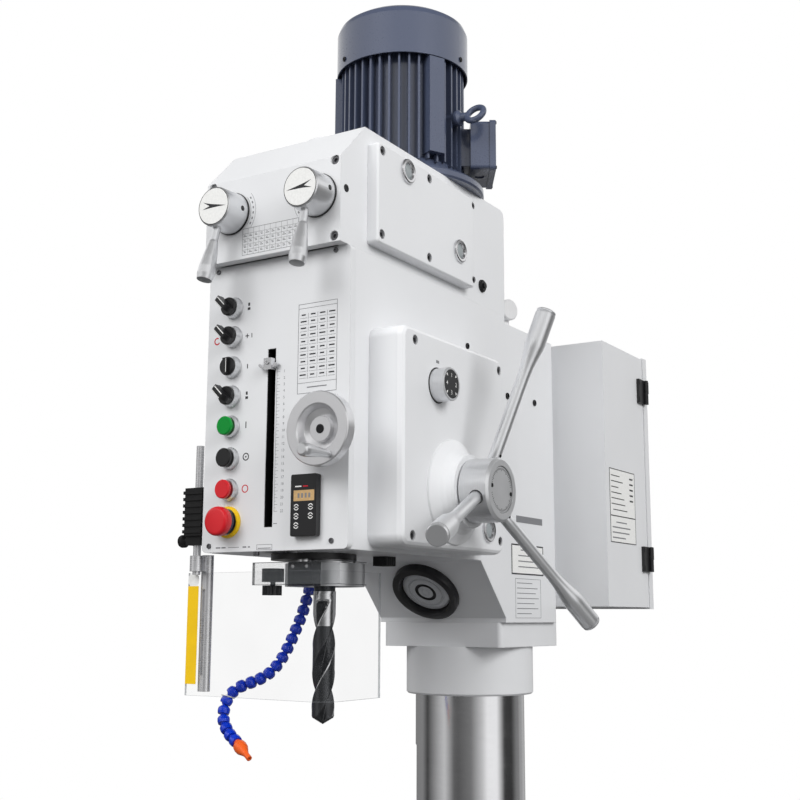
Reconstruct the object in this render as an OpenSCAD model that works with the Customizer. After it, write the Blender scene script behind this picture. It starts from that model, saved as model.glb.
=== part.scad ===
// Gear-head pillar drill. Origin on the column's axis at floor level, +Z up, front towards -Y.
// All sizes are millimetres at the real size.

/* [Column and base] */
// Diameter of the round column
column_d = 200; // [180:5:210]
// Height of the column's top, inside the collar under the head
column_top = 1318; // [1318:1:1318]
// Width of the base casting
base_w = 700; // [600:10:760]
// Length of the base casting, front to back
base_l = 1040; // [1000:10:1100]
// Height of the base casting
base_h = 120; // [100:5:120]
// Distance from the column's axis to the spindle's axis
throat = 467; // [467:1:467]

/* [Head] */
// Width of the head casting
head_w = 260; // [250:2:264]
// Height of the head's underside
head_bottom = 1424; // [1424:1:1424]
// Height of the joint between head and gearbox
head_top = 1872; // [1872:1:1872]
// How far the front panel stands from the column's axis
panel_front = 602.5; // [602.5:0.5:604]
// Width of the front panel
panel_w = 270; // [266:2:274]
// Width of the gearbox housing
gearbox_w = 258; // [252:2:260]
// Height of the gearbox housing
gearbox_h = 199; // [190:1:205]

/* [Spindle and feed] */
// Outer diameter of the quill
quill_d = 96; // [96:1:96]
// Downward travel of the quill
quill_travel = 240; // [200:5:240]
// Module of the quill's rack and the feed pinion
feed_module = 3; // [3:1:3]
// Teeth on the feed pinion
feed_teeth = 20; // [20:1:20]
// Diameter of the twist drill
drill_d = 35; // [20:1:36]
// Length of a feed handle outside its hub
handle_l = 263; // [220:1:280]
// How far the feed handles lean outwards
handle_lean = 15.7; // [10:0.1:18]

/* [Motor] */
// Diameter of the fan cowl
cowl_d = 240; // [230:2:250]
// Diameter of the mounting flange
flange_d = 296; // [280:2:300]
// Number of cooling fins round the motor
fin_count = 40; // [36:2:40]
// Distance from the column's axis to the motor's axis
motor_reach = 245; // [245:1:245]

/* [Cabinet] */
// Width of the electric cabinet
cabinet_w = 444; // [400:2:450]
// Height of the electric cabinet
cabinet_h = 512; // [480:2:520]
// Depth of the electric cabinet's body
cabinet_d = 211; // [180:1:220]

/* [Table] */
// Width of the table
table_w = 560; // [500:10:560]
// Depth of the table, front to back
table_l = 500; // [440:10:500]
// Height of the table's top as stored
table_top = 740; // [740:1:740]
// Width of a T-slot's neck
slot_w = 18; // [14:1:18]

/* [Coolant hose] */
// Radius of the ball of one hose link
link_ball = 6.2; // [6:0.1:6.3]
// Gap between a ball and its socket
link_gap = 0.15; // [0.1:0.05:0.2]

/* [Hidden] */
$fn = 64;

cast_white = [0.93, 0.93, 0.93];
motor_blue = [0.30, 0.34, 0.42];
bare_steel = [0.72, 0.73, 0.75];
dark_steel = [0.25, 0.25, 0.26];
switch_black = [0.08, 0.08, 0.09];

// Column and rack
column_r = column_d / 2;
column_bore = 68;
rack_module = 2.5;
rack_pitch = PI * rack_module;
rack_low = 322;
rack_teeth = 99;
rack_w = 40;
rack_depth = 20;
rack_tip = 98;
rack_turn = 210;
lift_teeth = 20;
lift_r = rack_module * lift_teeth / 2;
lift_reach = rack_tip - rack_module + lift_r;
lift_z = rack_low + 40 * rack_pitch;
crank_r = 120;
foot_top = base_h + 110;
foot_pcd = 290;
anchor_x = 600;
anchor_y = 920;
base_mid = -180;

// Head and panel
panel_t = 12.5;
body_front = panel_front - panel_t;
head_seat = 1320;
head_back = 140;
clamp_bottom = 1192;
slot_x = -8;
switch_x = -84;
switch_z = [1802, 1756, 1708, 1662, 1615, 1566, 1518, 1469];
wheel_x = 109;
wheel_z = 1592.5;
grip_place = [22, -39];
gearbox_front = 623;
gearbox_back = 95;
gearbox_top = head_top + gearbox_h;
lever_z = 1948;
lever_x = [-76, 88.5];

// Spindle, quill and feed
quill_r = quill_d / 2;
quill_low = 1386;
quill_high = 1790;
quill_tip = 45.5;
spindle_r = 30;
spline_r = 17;
feed_r = feed_module * feed_teeth / 2;
feed_y = -throat + quill_tip - feed_module + feed_r;
feed_z = 1519;
feed_box_x = head_w / 2;
feed_box_t = 60;
hub_x = feed_box_x + feed_box_t + 33;
hub_r = 49;
handle_first = -12.8;
rod_x = 9;
rod_y = -534;
collar_low = 1375;
collar_h = 35;

// Gear train: motor pinion to cluster wheel, cluster pinion to drive sleeve
gear_module = 4;
motor_teeth = 18;
wheel_teeth = 40;
pinion_teeth = 16;
sleeve_teeth = 37;
cluster_y = -motor_reach - gear_module * (motor_teeth + wheel_teeth) / 2;
high_gear_z = 2004;
low_gear_z = 1906;

// Motor
flange_z = gearbox_top;
fin_low = flange_z + 44;
cowl_low = 2302;
cowl_h = 98;
box_turn = 32;
cowl_screws = [-118, 2, 122];

// Cabinet
cabinet_z = 1350;
cabinet_y = head_back;
door_y = cabinet_y + cabinet_d + 1;
door_t = 20;
hinge_x = cabinet_w / 2 + 7.5;

// Guard
post_x = -157;
post_y = -588;
rail_x = -152;
rail_y = -568;
rail_top = 1422.5;

// Table and arm
table_t = 50;
arm_top = table_top - table_t;
arm_low = arm_top - 130;
arm_r = 150;

// Centres of the hose's balls, from the outlet under the head down to the nozzle
hose_route = [
  [-72, -405, 1384], [-73, -409, 1368], [-75, -414, 1352], [-77, -419, 1336], [-80, -424, 1321],
  [-84, -429, 1306], [-88, -434, 1291], [-93, -439, 1276], [-99, -444, 1262], [-107, -449, 1249],
  [-118, -454, 1238], [-132, -459, 1230], [-147, -464, 1224], [-162, -470, 1218], [-173, -477, 1208],
  [-178, -484, 1194], [-177, -490, 1179], [-171, -496, 1165], [-160, -501, 1154], [-147, -506, 1145],
  [-132, -511, 1138]
];

// Small helpers

// Rounded rectangle w by l about the origin, corner radius r
module plate_2d(w, l, r) {
  hull_x = w / 2 - r;
  hull_y = l / 2 - r;
  square([w - 2 * r, l], center = true);
  square([w, l - 2 * r], center = true);
  for (x = [-hull_x, hull_x], y = [-hull_y, hull_y]) translate([x, y]) circle(r);
}

// Turns what is drawn along +Z so that it lies along +X or -Y
module along_x(x, y, z) { translate([x, y, z]) rotate([0, 90, 0]) children(); }
module along_front(x, y, z) { translate([x, y, z]) rotate([90, 0, 0]) children(); }

// Extrudes a side profile, given in Y and Z, to a width centred on X
module side_profile(w) {
  translate([-w / 2, 0, 0]) rotate([90, 0, 90]) linear_extrude(w) children();
}

// Ring of outer radius ro and inner radius ri
module ring(ro, ri, h) {
  difference() {
    cylinder(r = ro, h = h);
    translate([0, 0, -1]) cylinder(r = ri, h = h + 2);
  }
}

// Involute gear outlines: a tooth's half angle at radius r, thinned by the backlash
function inv_deg(a) = tan(a) * 180 / PI - a;
function half_angle(m, z, r, slack) =
  let (rp = m * z / 2, rb = rp * cos(20), rr = max(r, rb + 0.001))
  90 / z - slack / rp * 90 / PI + inv_deg(20) - inv_deg(acos(rb / rr));
function tooth_radii(m, z) =
  let (rp = m * z / 2, root = rp - 1.25 * m, tip = rp + m)
  [root, max(root + 0.6, rp * cos(20) + 0.01), rp + 0.15 * m, tip];
module gear_2d(m, z, slack) {
  radii = tooth_radii(m, z);
  steps = [0 : len(radii) - 1];
  polygon([
    for (i = [0 : z - 1]) each concat(
      [for (k = steps) let (a = i * 360 / z - half_angle(m, z, radii[k], slack)) radii[k] * [cos(a), sin(a)]],
      [for (k = steps) let (n = len(radii) - 1 - k, a = i * 360 / z + half_angle(m, z, radii[n], slack))
        radii[n] * [cos(a), sin(a)]])
  ]);
}

// Rack outline along +X with its tips at y = 0 and a gap centred at x = 0
module rack_2d(m, first, count, back) {
  pitch = PI * m;
  tip = pitch / 4 - m * tan(20) - 0.1;
  root = pitch / 4 + 1.25 * m * tan(20) - 0.1;
  start = (first + 0.5) * pitch;
  polygon(concat(
    [[start - pitch / 2, -back], [start - pitch / 2, -2.25 * m]],
    [for (i = [0 : count - 1]) each [
      [start + i * pitch - root, -2.25 * m], [start + i * pitch - tip, 0],
      [start + i * pitch + tip, 0], [start + i * pitch + root, -2.25 * m]]],
    [[start + (count - 0.5) * pitch, -2.25 * m], [start + (count - 0.5) * pitch, -back]]
  ));
}

// Cross-section of a T-slot, cut down from y = 0
module tee_slot_2d() {
  translate([-slot_w / 2, -32]) square([slot_w, 33]);
  translate([-slot_w / 2 - 6, -32]) square([slot_w + 12, 13]);
}

// Places its children on the column's rack side, +X pointing away from the column
module rack_side() { rotate([0, 0, rack_turn]) children(); }

// Base and column

module base() color(cast_white) difference() {
  union() {
    translate([0, base_mid, 0]) linear_extrude(base_h) plate_2d(base_w, base_l, 40);
    translate([0, -440, base_h - 1]) linear_extrude(13) plate_2d(base_w - 160, 420, 12);
    cylinder(r = 182, h = base_h + 10);
  }
  // Cells under the casting
  for (x = [-160, 160], y = [-570, -310, -60, 190]) translate([x, y, -1])
    linear_extrude(84) plate_2d(200, 210, 20);
  for (x = [-130, 130]) translate([x, -200, base_h + 12]) rotate([90, 0, 0])
    linear_extrude(500) tee_slot_2d();
  for (x = [-1, 1], y = [-1, 1])
    translate([x * anchor_x / 2, base_mid + y * anchor_y / 2, -1]) cylinder(r = 11, h = base_h + 2);
  // Blind bolt holes, ending above the cells
  for (i = [0 : 5]) rotate(i * 60 + 30) translate([foot_pcd / 2, 0, base_h - 30]) cylinder(r = 10.5, h = 50);
}

module column_foot() color(cast_white) difference() {
  translate([0, 0, base_h + 10]) rotate_extrude() polygon([
    [column_r, 0], [170, 0], [170, 36], [166, 40], [126, 40], [122, 60], [120, 96], [116, 100], [column_r, 100]]);
  for (i = [0 : 5]) rotate(i * 60 + 30) translate([foot_pcd / 2, 0, base_h]) cylinder(r = 10.5, h = 60);
}

module foot_bolts() color(dark_steel) for (i = [0 : 5]) rotate(i * 60 + 30)
  translate([foot_pcd / 2, 0, base_h + 50]) {
    translate([0, 0, -70]) cylinder(r = 10, h = 74, $fn = 32);
    cylinder(r = 18, h = 4, $fn = 32);
    translate([0, 0, 4]) cylinder(r = 17, h = 13, $fn = 6);
  }

module column() color(bare_steel) difference() {
  translate([0, 0, base_h + 10]) cylinder(r = column_r, h = column_top - base_h - 10, $fn = 128);
  translate([0, 0, base_h]) cylinder(r = column_bore, h = column_top - base_h + 1);
  rack_side() translate([rack_tip - rack_depth, -rack_w / 2, rack_low])
    cube([60, rack_w, rack_teeth * rack_pitch]);
}

module column_rack() color(bare_steel) rack_side() translate([rack_tip, -rack_w / 2, lift_z])
  rotate([90, 0, 90]) rotate([90, 0, 90]) linear_extrude(rack_w)
    rack_2d(rack_module, -40, rack_teeth, rack_depth);

module column_clamp() color(cast_white) difference() {
  union() {
    translate([0, 11, 1277]) linear_extrude(head_seat - 1277) plate_2d(244, 234, 10);
    translate([0, 0, clamp_bottom]) rotate_extrude() polygon([
      [90, 0], [114, 0], [117, 3], [117, 86], [90, 86]]);
  }
  translate([0, 0, clamp_bottom - 1]) cylinder(r = column_r, h = 140, $fn = 128);
}

// Head

module head_profile() polygon([
  [-body_front, head_bottom], [-196, head_bottom], [-104, 1328], [-104, head_seat], [head_back, head_seat],
  [head_back, 1846], [head_back - 12, 1858], [-gearbox_back - 3, 1858], [-gearbox_back - 3, head_top],
  [-body_front, head_top]]);

module head_casting() color(cast_white) difference() {
  union() {
    intersection() {
      side_profile(head_w + 2) head_profile();
      translate([0, 0, 1300]) linear_extrude(620) polygon([
        [-head_w / 2 + 6, -body_front], [head_w / 2 - 6, -body_front], [head_w / 2, -body_front + 6],
        [head_w / 2, 103], [head_w / 2 - 34, head_back], [34 - head_w / 2, head_back],
        [-head_w / 2, 103], [-head_w / 2, -body_front + 6]]);
    }
    translate([0, -throat - 30, head_bottom - 10]) cylinder(r = 66, h = 12);
  }
  // Rear hollow, open towards the cabinet
  side_profile(188) polygon([
    [-330, 1456], [-168, 1456], [-70, 1352], [head_back + 1, 1352], [head_back + 1, 1822], [-330, 1822]]);
  // Quill bore and the smaller bore for the drive sleeve
  translate([0, -throat, head_bottom - 11]) cylinder(r = quill_r + 0.06, h = 387, $fn = 96);
  translate([0, -throat, head_bottom]) cylinder(r = 32.05, h = 500);
  // Lower bearing of the gear cluster
  translate([0, cluster_y, head_top - 28]) cylinder(r = 15.05, h = 30);
  // Feed pinion chamber and shaft bore
  along_x(-17, feed_y, feed_z) cylinder(r = feed_r + feed_module + 1, h = 34);
  along_x(-60, feed_y, feed_z) cylinder(r = 14.05, h = 200);
  // Depth rod channel and the bay behind the switches
  translate([-36, -body_front - 1, head_bottom - 1]) cube([60, 68, 330]);
  translate([rod_x, rod_y, head_bottom - 11]) cylinder(r = 11, h = 12);
  translate([-112, -body_front - 1, 1444]) cube([52, 46, 384]);
  // Handwheel shaft bore
  along_front(wheel_x, -body_front + 60, wheel_z) cylinder(r = 10.05, h = 61);
  // Recess for the lamp in the slanted face
  lamp_place() translate([0, 0, -10]) cylinder(r = 62, h = 40);
}

// Puts its children on the slanted underside, +Z pointing out of the face
lamp_lean = 180 - atan2(196 - 104, head_bottom - 1328);
module lamp_place() translate([-4, -150, 1376]) rotate([lamp_lean, 0, 0]) children();

module work_lamp() lamp_place() {
  color(switch_black) translate([0, 0, -10]) rotate_extrude() polygon([
    [0, 0], [61.8, 0], [61.8, 11], [60, 13], [47, 13], [45, 11], [45, 6], [0, 6]]);
  color(bare_steel) translate([0, 0, -4]) rotate_extrude() polygon([
    [0, 0], [43, 0], [43, 6], [41, 8], [27, 8], [26, 6.6], [25, 6.6], [24, 8], [0, 8]]);
}

module front_panel() color(cast_white) difference() {
  translate([0, -body_front, 0]) rotate([90, 0, 0]) linear_extrude(panel_t)
    translate([0, (head_bottom + head_top) / 2]) plate_2d(panel_w, head_top - head_bottom, 8);
  translate([slot_x - 7.75, -panel_front - 1, 1459]) cube([15.5, panel_t + 2, 270]);
  for (i = [0 : 7]) along_front(switch_x, -body_front + 1, switch_z[i]) cylinder(r = 11.2, h = panel_t + 2);
  along_front(wheel_x, -body_front + 1, wheel_z) cylinder(r = 10.05, h = panel_t + 2);
}

// Gearbox

module gearbox_profile(t) polygon([
  [-gearbox_front + t, head_top - (t > 0 ? 1 : 0)], [-gearbox_front + t, 2004.5 - t * 0.4],
  [-560 + t * 0.4, gearbox_top - t], [-gearbox_back - 12, gearbox_top - t],
  [-gearbox_back - max(t, 3.5), gearbox_top - max(t, 3.5)], [-gearbox_back - t, gearbox_top - max(t, 12)],
  [-gearbox_back - t, head_top - (t > 0 ? 1 : 0)]]);

module gearbox_housing() color(cast_white) difference() {
  union() {
    side_profile(gearbox_w) gearbox_profile(0);
    translate([0, -throat, gearbox_top - 1]) rotate_extrude() polygon([
      [0, 0], [50, 0], [50, 22], [46, 27], [0, 27]]);
  }
  side_profile(gearbox_w - 32) gearbox_profile(16);
  // Window behind the side cover
  translate([gearbox_w / 2 - 20, -530, 1904]) cube([30, 262, 124]);
  // Motor shaft opening and the room for the spindle's top
  translate([0, -motor_reach, gearbox_top - 20]) cylinder(r = 65, h = 30);
  translate([0, -throat, gearbox_top - 20]) cylinder(r = 24, h = 38);
  translate([0, cluster_y, gearbox_top - 20]) cylinder(r = 15.05, h = 12);
  for (x = [-1, 1], z = [head_top + 9, 1999]) along_front(x * 118, -gearbox_front + 9, z) cylinder(r = 7.5, h = 12);
  for (x = lever_x) along_front(x, -gearbox_front + 17, lever_z) cylinder(r = 10.05, h = 19);
}

cover_y = [-540, -398.6, -247];
cover_z = [1901, 2034.5];
sights = [[-467.6, 2024.5], [-299.5, 1938]];

module gearbox_cover() color(cast_white) difference() {
  translate([gearbox_w / 2, 0, 0]) hull() {
    translate([0, -399, 1966.5]) rotate([90, 0, 90]) linear_extrude(17) plate_2d(306, 161, 6);
    translate([0, -399, 1966.5]) rotate([90, 0, 90]) linear_extrude(20) plate_2d(301, 156, 4);
  }
  for (y = cover_y, z = cover_z) along_x(gearbox_w / 2 + 12, y, z) cylinder(r = 7.5, h = 10);
  for (s = sights) along_x(gearbox_w / 2 - 1, s[0], s[1]) cylinder(r = 17, h = 24);
}

// Oil sights on the gearbox cover and on the feed box
module sight_glasses() {
  for (s = concat([for (s = sights) [gearbox_w / 2, s[0], s[1], 20]],
      [[feed_box_x + feed_box_t - 20, -282, 1468, 20]]))
    along_x(s[0], s[1], s[2]) {
      color("silver") rotate_extrude() polygon([
        [12, 0], [17, 0], [17, s[3]], [20, s[3]], [20, s[3] + 3], [18, s[3] + 5], [14, s[3] + 5], [12, s[3] + 2]]);
      color([0.75, 0.8, 0.8]) cylinder(r = 12, h = s[3] - 2);
    }
}

// Socket-head screw seated at the origin, head standing 6 high along +Z
module cap_screw() rotate_extrude() polygon([
  [0, 0], [6.5, 0], [6.5, 5.4], [5.9, 6], [3.4, 6], [3.4, 3], [0, 3]]);

feed_screws = [[-510, 1738], [-238, 1738], [-516, 1446], [-239, 1452]];
module cap_screws() color(dark_steel) {
  for (y = cover_y, z = cover_z) along_x(gearbox_w / 2 + 12, y, z) cap_screw();
  for (s = feed_screws) along_x(feed_box_x + feed_box_t - 8, s[0], s[1]) cap_screw();
  for (x = [-1, 1], z = [head_top + 9, 1999]) along_front(x * 118, -gearbox_front + 9, z) cap_screw();
}

// Oil filler: a short neck on the head's top with its cap turned to the side
module filler_cap() color(bare_steel) translate([98, -40, 1858]) rotate(-19) {
  cylinder(r = 11, h = 39);
  translate([0, 0, 39]) sphere(r = 11);
  translate([0, 0, 39]) rotate([0, 90, 0]) rotate_extrude() polygon([
    [0, 0], [11, 0], [11, 6], [20, 7], [20, 18], [18, 20], [0, 20]]);
}

// Feed box

module feed_box() color(cast_white) difference() {
  union() {
    hull() {
      translate([feed_box_x, -385, 1594]) rotate([90, 0, 90]) linear_extrude(50) plate_2d(320, 328, 18);
      translate([feed_box_x, -385, 1594]) rotate([90, 0, 90]) linear_extrude(57) plate_2d(315, 323, 15);
      translate([feed_box_x, -385, 1594]) rotate([90, 0, 90]) linear_extrude(60) plate_2d(306, 314, 11);
    }
    along_x(feed_box_x + feed_box_t - 1, feed_y, feed_z) rotate_extrude() polygon([
      [0, 0], [82, 0], [81, 4], [74, 9], [66, 15], [60, 22], [57, 28], [56, 33], [0, 33]]);
  }
  along_x(feed_box_x - 1, feed_y, feed_z) cylinder(r = 14.05, h = 110);
  for (s = feed_screws) along_x(feed_box_x + feed_box_t - 8, s[0], s[1]) cylinder(r = 7.5, h = 10);
  along_x(feed_box_x + feed_box_t - 20, -282, 1468) cylinder(r = 17, h = 24);
  along_x(feed_box_x + feed_box_t - 20, -444, 1679) cylinder(r = 8.05, h = 24);
}

module feed_dial() along_x(feed_box_x + feed_box_t, -444, 1679) {
  color(bare_steel) difference() {
    rotate_extrude() polygon([
      [0, -18], [8, -18], [8, 0.4], [26, 0.4], [26, 24], [25, 25], [0, 25]]);
    translate([0, 0, 23.5]) cylinder(r = 22.5, h = 3);
  }
  color(switch_black) translate([0, 0, 23.5]) cylinder(r = 22.5, h = 1);
}

module feed_hub() color(bare_steel) difference() {
  along_x(hub_x, feed_y, feed_z) rotate_extrude() polygon([
    [14, 0], [45, 0], [hub_r, 2], [hub_r, 47], [hub_r - 4, 51], [36, 51], [36, 49.5], [0, 49.5], [0, 40],
    [14, 40]]);
  for (i = [0 : 2]) handle_place(i) translate([0, 0, -12]) cylinder(r = 11, h = 60);
}

// Root of handle i inside the hub, +Z pointing out along the handle
module handle_place(i) translate([hub_x + 26, feed_y, feed_z]) rotate([handle_first + i * 120, 0, 0])
  translate([0, 0, 32]) rotate([0, handle_lean, 0]) children();

module feed_handles() color("silver") for (i = [0 : 2]) handle_place(i) rotate_extrude() polygon([
  [0, -12], [11, -12], [11, handle_l * 0.64], [12.2, handle_l * 0.69], [15, handle_l * 0.78],
  [16, handle_l * 0.82], [16, handle_l + 5], [14, handle_l + 8], [0, handle_l + 8]]);

module feed_pinion() color(bare_steel) {
  along_x(-15, feed_y, feed_z) rotate([0, 0, 90]) linear_extrude(30) gear_2d(feed_module, feed_teeth, 0.3);
  along_x(-58, feed_y, feed_z) cylinder(r = 14, h = hub_x + 58 + 40);
}

// Quill and spindle

module quill() color(bare_steel) difference() {
  translate([0, -throat, quill_low]) cylinder(r = quill_r, h = quill_high - quill_low, $fn = 96);
  translate([0, -throat, quill_low - 1]) cylinder(r = spindle_r + 0.05, h = quill_high - quill_low + 2);
  translate([-16, -throat + quill_tip, quill_low - 1]) cube([32, 10, quill_high - quill_low + 2]);
  translate([-16, -throat, 0]) rotate([90, 0, 90]) linear_extrude(32) difference() {
    translate([quill_tip - 2.25 * feed_module, feed_z - 4 * PI * feed_module])
      square([10, 32 * PI * feed_module]);
    translate([quill_tip, feed_z]) mirror([1, 0]) rotate(90) rack_2d(feed_module, -4, 32, 20);
  }
}

module spindle() color(bare_steel) translate([0, -throat, 0]) difference() {
  union() {
    rotate_extrude() translate([0, 1377]) polygon([
      [0, 0], [34, 0], [36, 2], [36, 8.5], [spindle_r, 8.5], [spindle_r, 405], [spline_r - 3, 419],
      [spline_r - 3, 711], [0, 711]]);
    translate([0, 0, 1790]) linear_extrude(296) spline_2d(spline_r, 6);
  }
  translate([0, 0, 1376]) cylinder(r1 = 15.7, r2 = 13, h = 120);
}

// Six-key spline outline of outer radius r and key width w
module spline_2d(r, w) {
  circle(r - 3);
  for (i = [0 : 2]) rotate(i * 60) square([2 * r - 0.4, w], center = true);
}

module drill_bit() {
  lead = 186;
  flute_l = 147;
  tip_z = 1168;
  wide = drill_d / 2 + 1;
  translate([0, -throat, 0]) {
    color(dark_steel) translate([0, 0, tip_z]) intersection() {
      linear_extrude(flute_l, twist = -360 * flute_l / lead, slices = 28) drill_2d(drill_d / 2);
      rotate_extrude() polygon([[0, 0], [0.6, 0], [wide, wide * tan(31)], [wide, flute_l], [0, flute_l]]);
    }
    color("silver") rotate_extrude() polygon([
      [0, tip_z + flute_l], [drill_d / 2 - 0.5, tip_z + flute_l], [drill_d / 2 - 0.5, 1374],
      [drill_d / 2 - 1.5, 1376.4], [15.6, 1377], [13, 1475], [0, 1475]]);
  }
}

// Two-flute cross-section of a twist drill of radius r
function flute_edge(r, a) =
  let (deep = r * 0.22, wave = 0.5 + 0.5 * cos(2 * a)) r - (r - deep) * pow(wave, 1.4);
module drill_2d(r) polygon([for (a = [0 : 20 : 340]) flute_edge(r, a) * [cos(a), sin(a)]]);

module depth_rod() {
  color(switch_black) difference() {
    union() {
      translate([0, -throat, collar_low]) cylinder(r = 62, h = collar_h);
      translate([rod_x - 22, -545, collar_low]) cube([44, 60, collar_h]);
    }
    translate([0, -throat, collar_low - 1]) cylinder(r = quill_r, h = collar_h + 2, $fn = 96);
  }
  color(bare_steel) {
    translate([rod_x, rod_y, collar_low + collar_h]) cylinder(r = 10, h = 306);
    translate([slot_x - 4, -548, 1696]) cube([30, 22, 17]);
    translate([slot_x - 4, -panel_front - 5, 1701]) cube([8, panel_front + rod_y + 5, 11]);
    translate([slot_x - 7, -panel_front - 11, 1695]) cube([14, 10, 18]);
  }
}

// Front panel controls

module handwheel() color(bare_steel) along_front(wheel_x, -body_front, wheel_z) difference() {
  rotate_extrude() polygon([
    [0, -50], [10, -50], [10, 16], [15, 16], [19, 28], [33, 37], [40, 38], [52, 37.5], [54, 39.5],
    [54, 54.5], [52.5, 56], [36.5, 56], [35, 54.5], [30, 45], [19, 41], [18, 47.5], [0, 47.5]]);
  translate([grip_place[0], grip_place[1], 40]) cylinder(r = 4.05, h = 30);
}

module handwheel_grip() color(bare_steel) along_front(wheel_x, -body_front, wheel_z)
  translate([grip_place[0], grip_place[1], 0]) rotate_extrude() polygon([
    [0, 40.5], [4, 40.5], [4, 57], [5, 57.5], [6.5, 75], [9, 100], [10, 111], [9.6, 118], [7, 121], [0, 121]]);

// Speed lever: round boss on the gearbox front with a handle below, turned by lean about its shaft
module speed_lever(x, turn) along_front(x, -gearbox_front, lever_z) rotate([0, 0, turn]) color("silver") {
  rotate_extrude() polygon([
    [0, -14], [10, -14], [10, 0.4], [33, 0.4], [31, 44], [29.5, 46], [0, 46]]);
  translate([0, -20, 30.2]) rotate([90 - 11.4, 0, 0]) rotate_extrude() polygon([
    [0, 0], [6, 0], [6, 33], [7.5, 36], [11, 60], [13, 78], [13.4, 90], [11.8, 99], [0, 99]]);
}
module speed_lever_left() speed_lever(lever_x[0], -5);
module speed_lever_right() speed_lever(lever_x[1], 0);

bezel_top = [12, 12, 12, 12, 9, 9, 9];
module switch_bezels() color("silver") for (i = [0 : 7])
  along_front(switch_x, -panel_front, switch_z[i]) rotate_extrude() polygon(i < 7 ?
    [[9.2, -panel_t], [11.1, -panel_t], [11.1, 0], [17.4, 0], [17.4, 2], [16.4, 3],
      [15, bezel_top[i]], [9.2, bezel_top[i]]] :
    [[9.2, -panel_t], [11.1, -panel_t], [11.1, 0], [23.5, 0], [23.5, 2.5], [22.5, 3.5], [9.2, 3.5]]);

// Rotary selector: a round base with a raised lever grip
module selector(i, turn) color(switch_black) along_front(switch_x, -panel_front, switch_z[i])
  rotate([0, 0, turn]) {
    rotate_extrude() polygon([
      [0, -24], [9.1, -24], [9.1, 12.4], [14.3, 12.4], [14.3, 16], [12.8, 18], [0, 18]]);
    difference() {
      translate([-4.5, -15, 17]) cube([9, 33, 16]);
      translate([-4.5, -15, 33]) rotate([0, 90, 0]) translate([0, 0, -1]) cylinder(r = 9, h = 11);
      translate([-4.5, 18, 33]) rotate([0, 90, 0]) translate([0, 0, -1]) cylinder(r = 4, h = 11);
    }
  }
module selector_1() selector(0, 45);
module selector_2() selector(1, 45);
// The third one is a flat round knob with a low ridge
module selector_3() color(switch_black) along_front(switch_x, -panel_front, switch_z[2]) {
  rotate_extrude() polygon([
    [0, -24], [9.1, -24], [9.1, 12.4], [14.3, 12.4], [14.3, 14.5], [13, 16], [0, 16]]);
  translate([-4, -12, 15]) cube([8, 24, 6]);
}
module selector_4() selector(3, 45);

module push_button(i, tint) color(tint) along_front(switch_x, -panel_front, switch_z[i])
  rotate_extrude() polygon([
    [0, -24], [9.1, -24], [9.1, 13.5], [14.4, 13.5], [14.4, 17], [13, 18.5], [0, 18.5]]);
module green_button() push_button(4, "green");
module black_button() push_button(5, switch_black);
module red_button() push_button(6, "red");

module emergency_stop() along_front(switch_x, -panel_front, switch_z[7]) {
  color(switch_black) rotate_extrude() polygon([
    [0, -24], [9.1, -24], [9.1, 9], [18.5, 9], [19.5, 17.5], [0, 17.5]]);
  color("red") translate([0, 0, 17.5]) rotate_extrude() polygon([
    [0, 0], [21.5, 0], [22.3, 2], [21.8, 11], [20.5, 13.5], [18, 14.5], [0, 14.5]]);
}

module readout_box() translate([65, -panel_front, 1488]) {
  color(switch_black) difference() {
    rotate([90, 0, 0]) linear_extrude(18) plate_2d(46, 90, 3);
    translate([-16, -19, 14]) cube([32, 3, 18]);
  }
  color([0.75, 0.7, 0.55]) translate([-16, -17, 14]) cube([32, 1.5, 18]);
}

// Motor, standing on the gearbox

module motor_place() translate([0, -motor_reach, flange_z]) children();

// Lifting eye's seat on the frame, +Z pointing out of it
module eye_place() rotate(-2) translate([0, 0, 130]) rotate([0, 90, 0]) children();

module motor_frame() color(motor_blue) motor_place() difference() {
  union() {
    rotate_extrude() polygon([
      [0, 0], [flange_d / 2 - 3, 0], [flange_d / 2, 3], [flange_d / 2, 12], [flange_d / 2 - 4, 16],
      [112, 20], [104, 44], [98, 48], [98, 262], [0, 262]]);
    for (i = [0 : fin_count - 1]) rotate(i * 360 / fin_count + 2) translate([90, -1.8, 42 - 4 * (i % 2)])
      cube([23, 3.6, 198 - 2 * (i % 2)]);
    for (a = [-28, -148, 92]) rotate(a) translate([80, -15, 52]) cube([42, 30, 176]);
    rotate(box_turn) translate([80, -34, 54]) cube([42, 68, 70]);
    for (a = cowl_screws) rotate(a) intersection() {
      translate([80, -14, 237]) cube([60, 28, 16]);
      cylinder(r = cowl_d / 2 - 2.5, h = 300);
    }
    eye_place() cylinder(r = 12, h = 118);
  }
  translate([0, 0, -1]) cylinder(r = 16.05, h = 20);
  translate([0, 0, 18]) cylinder(r = 67.5, h = 235);
  translate([0, 0, 246]) cylinder(r = 16.05, h = 30);
  for (a = [45 : 90 : 315]) rotate(a) translate([130, 0, -1]) cylinder(r = 7, h = 30);
  eye_place() translate([0, 0, 100]) cylinder(r = 6.02, h = 30);
}

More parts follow.
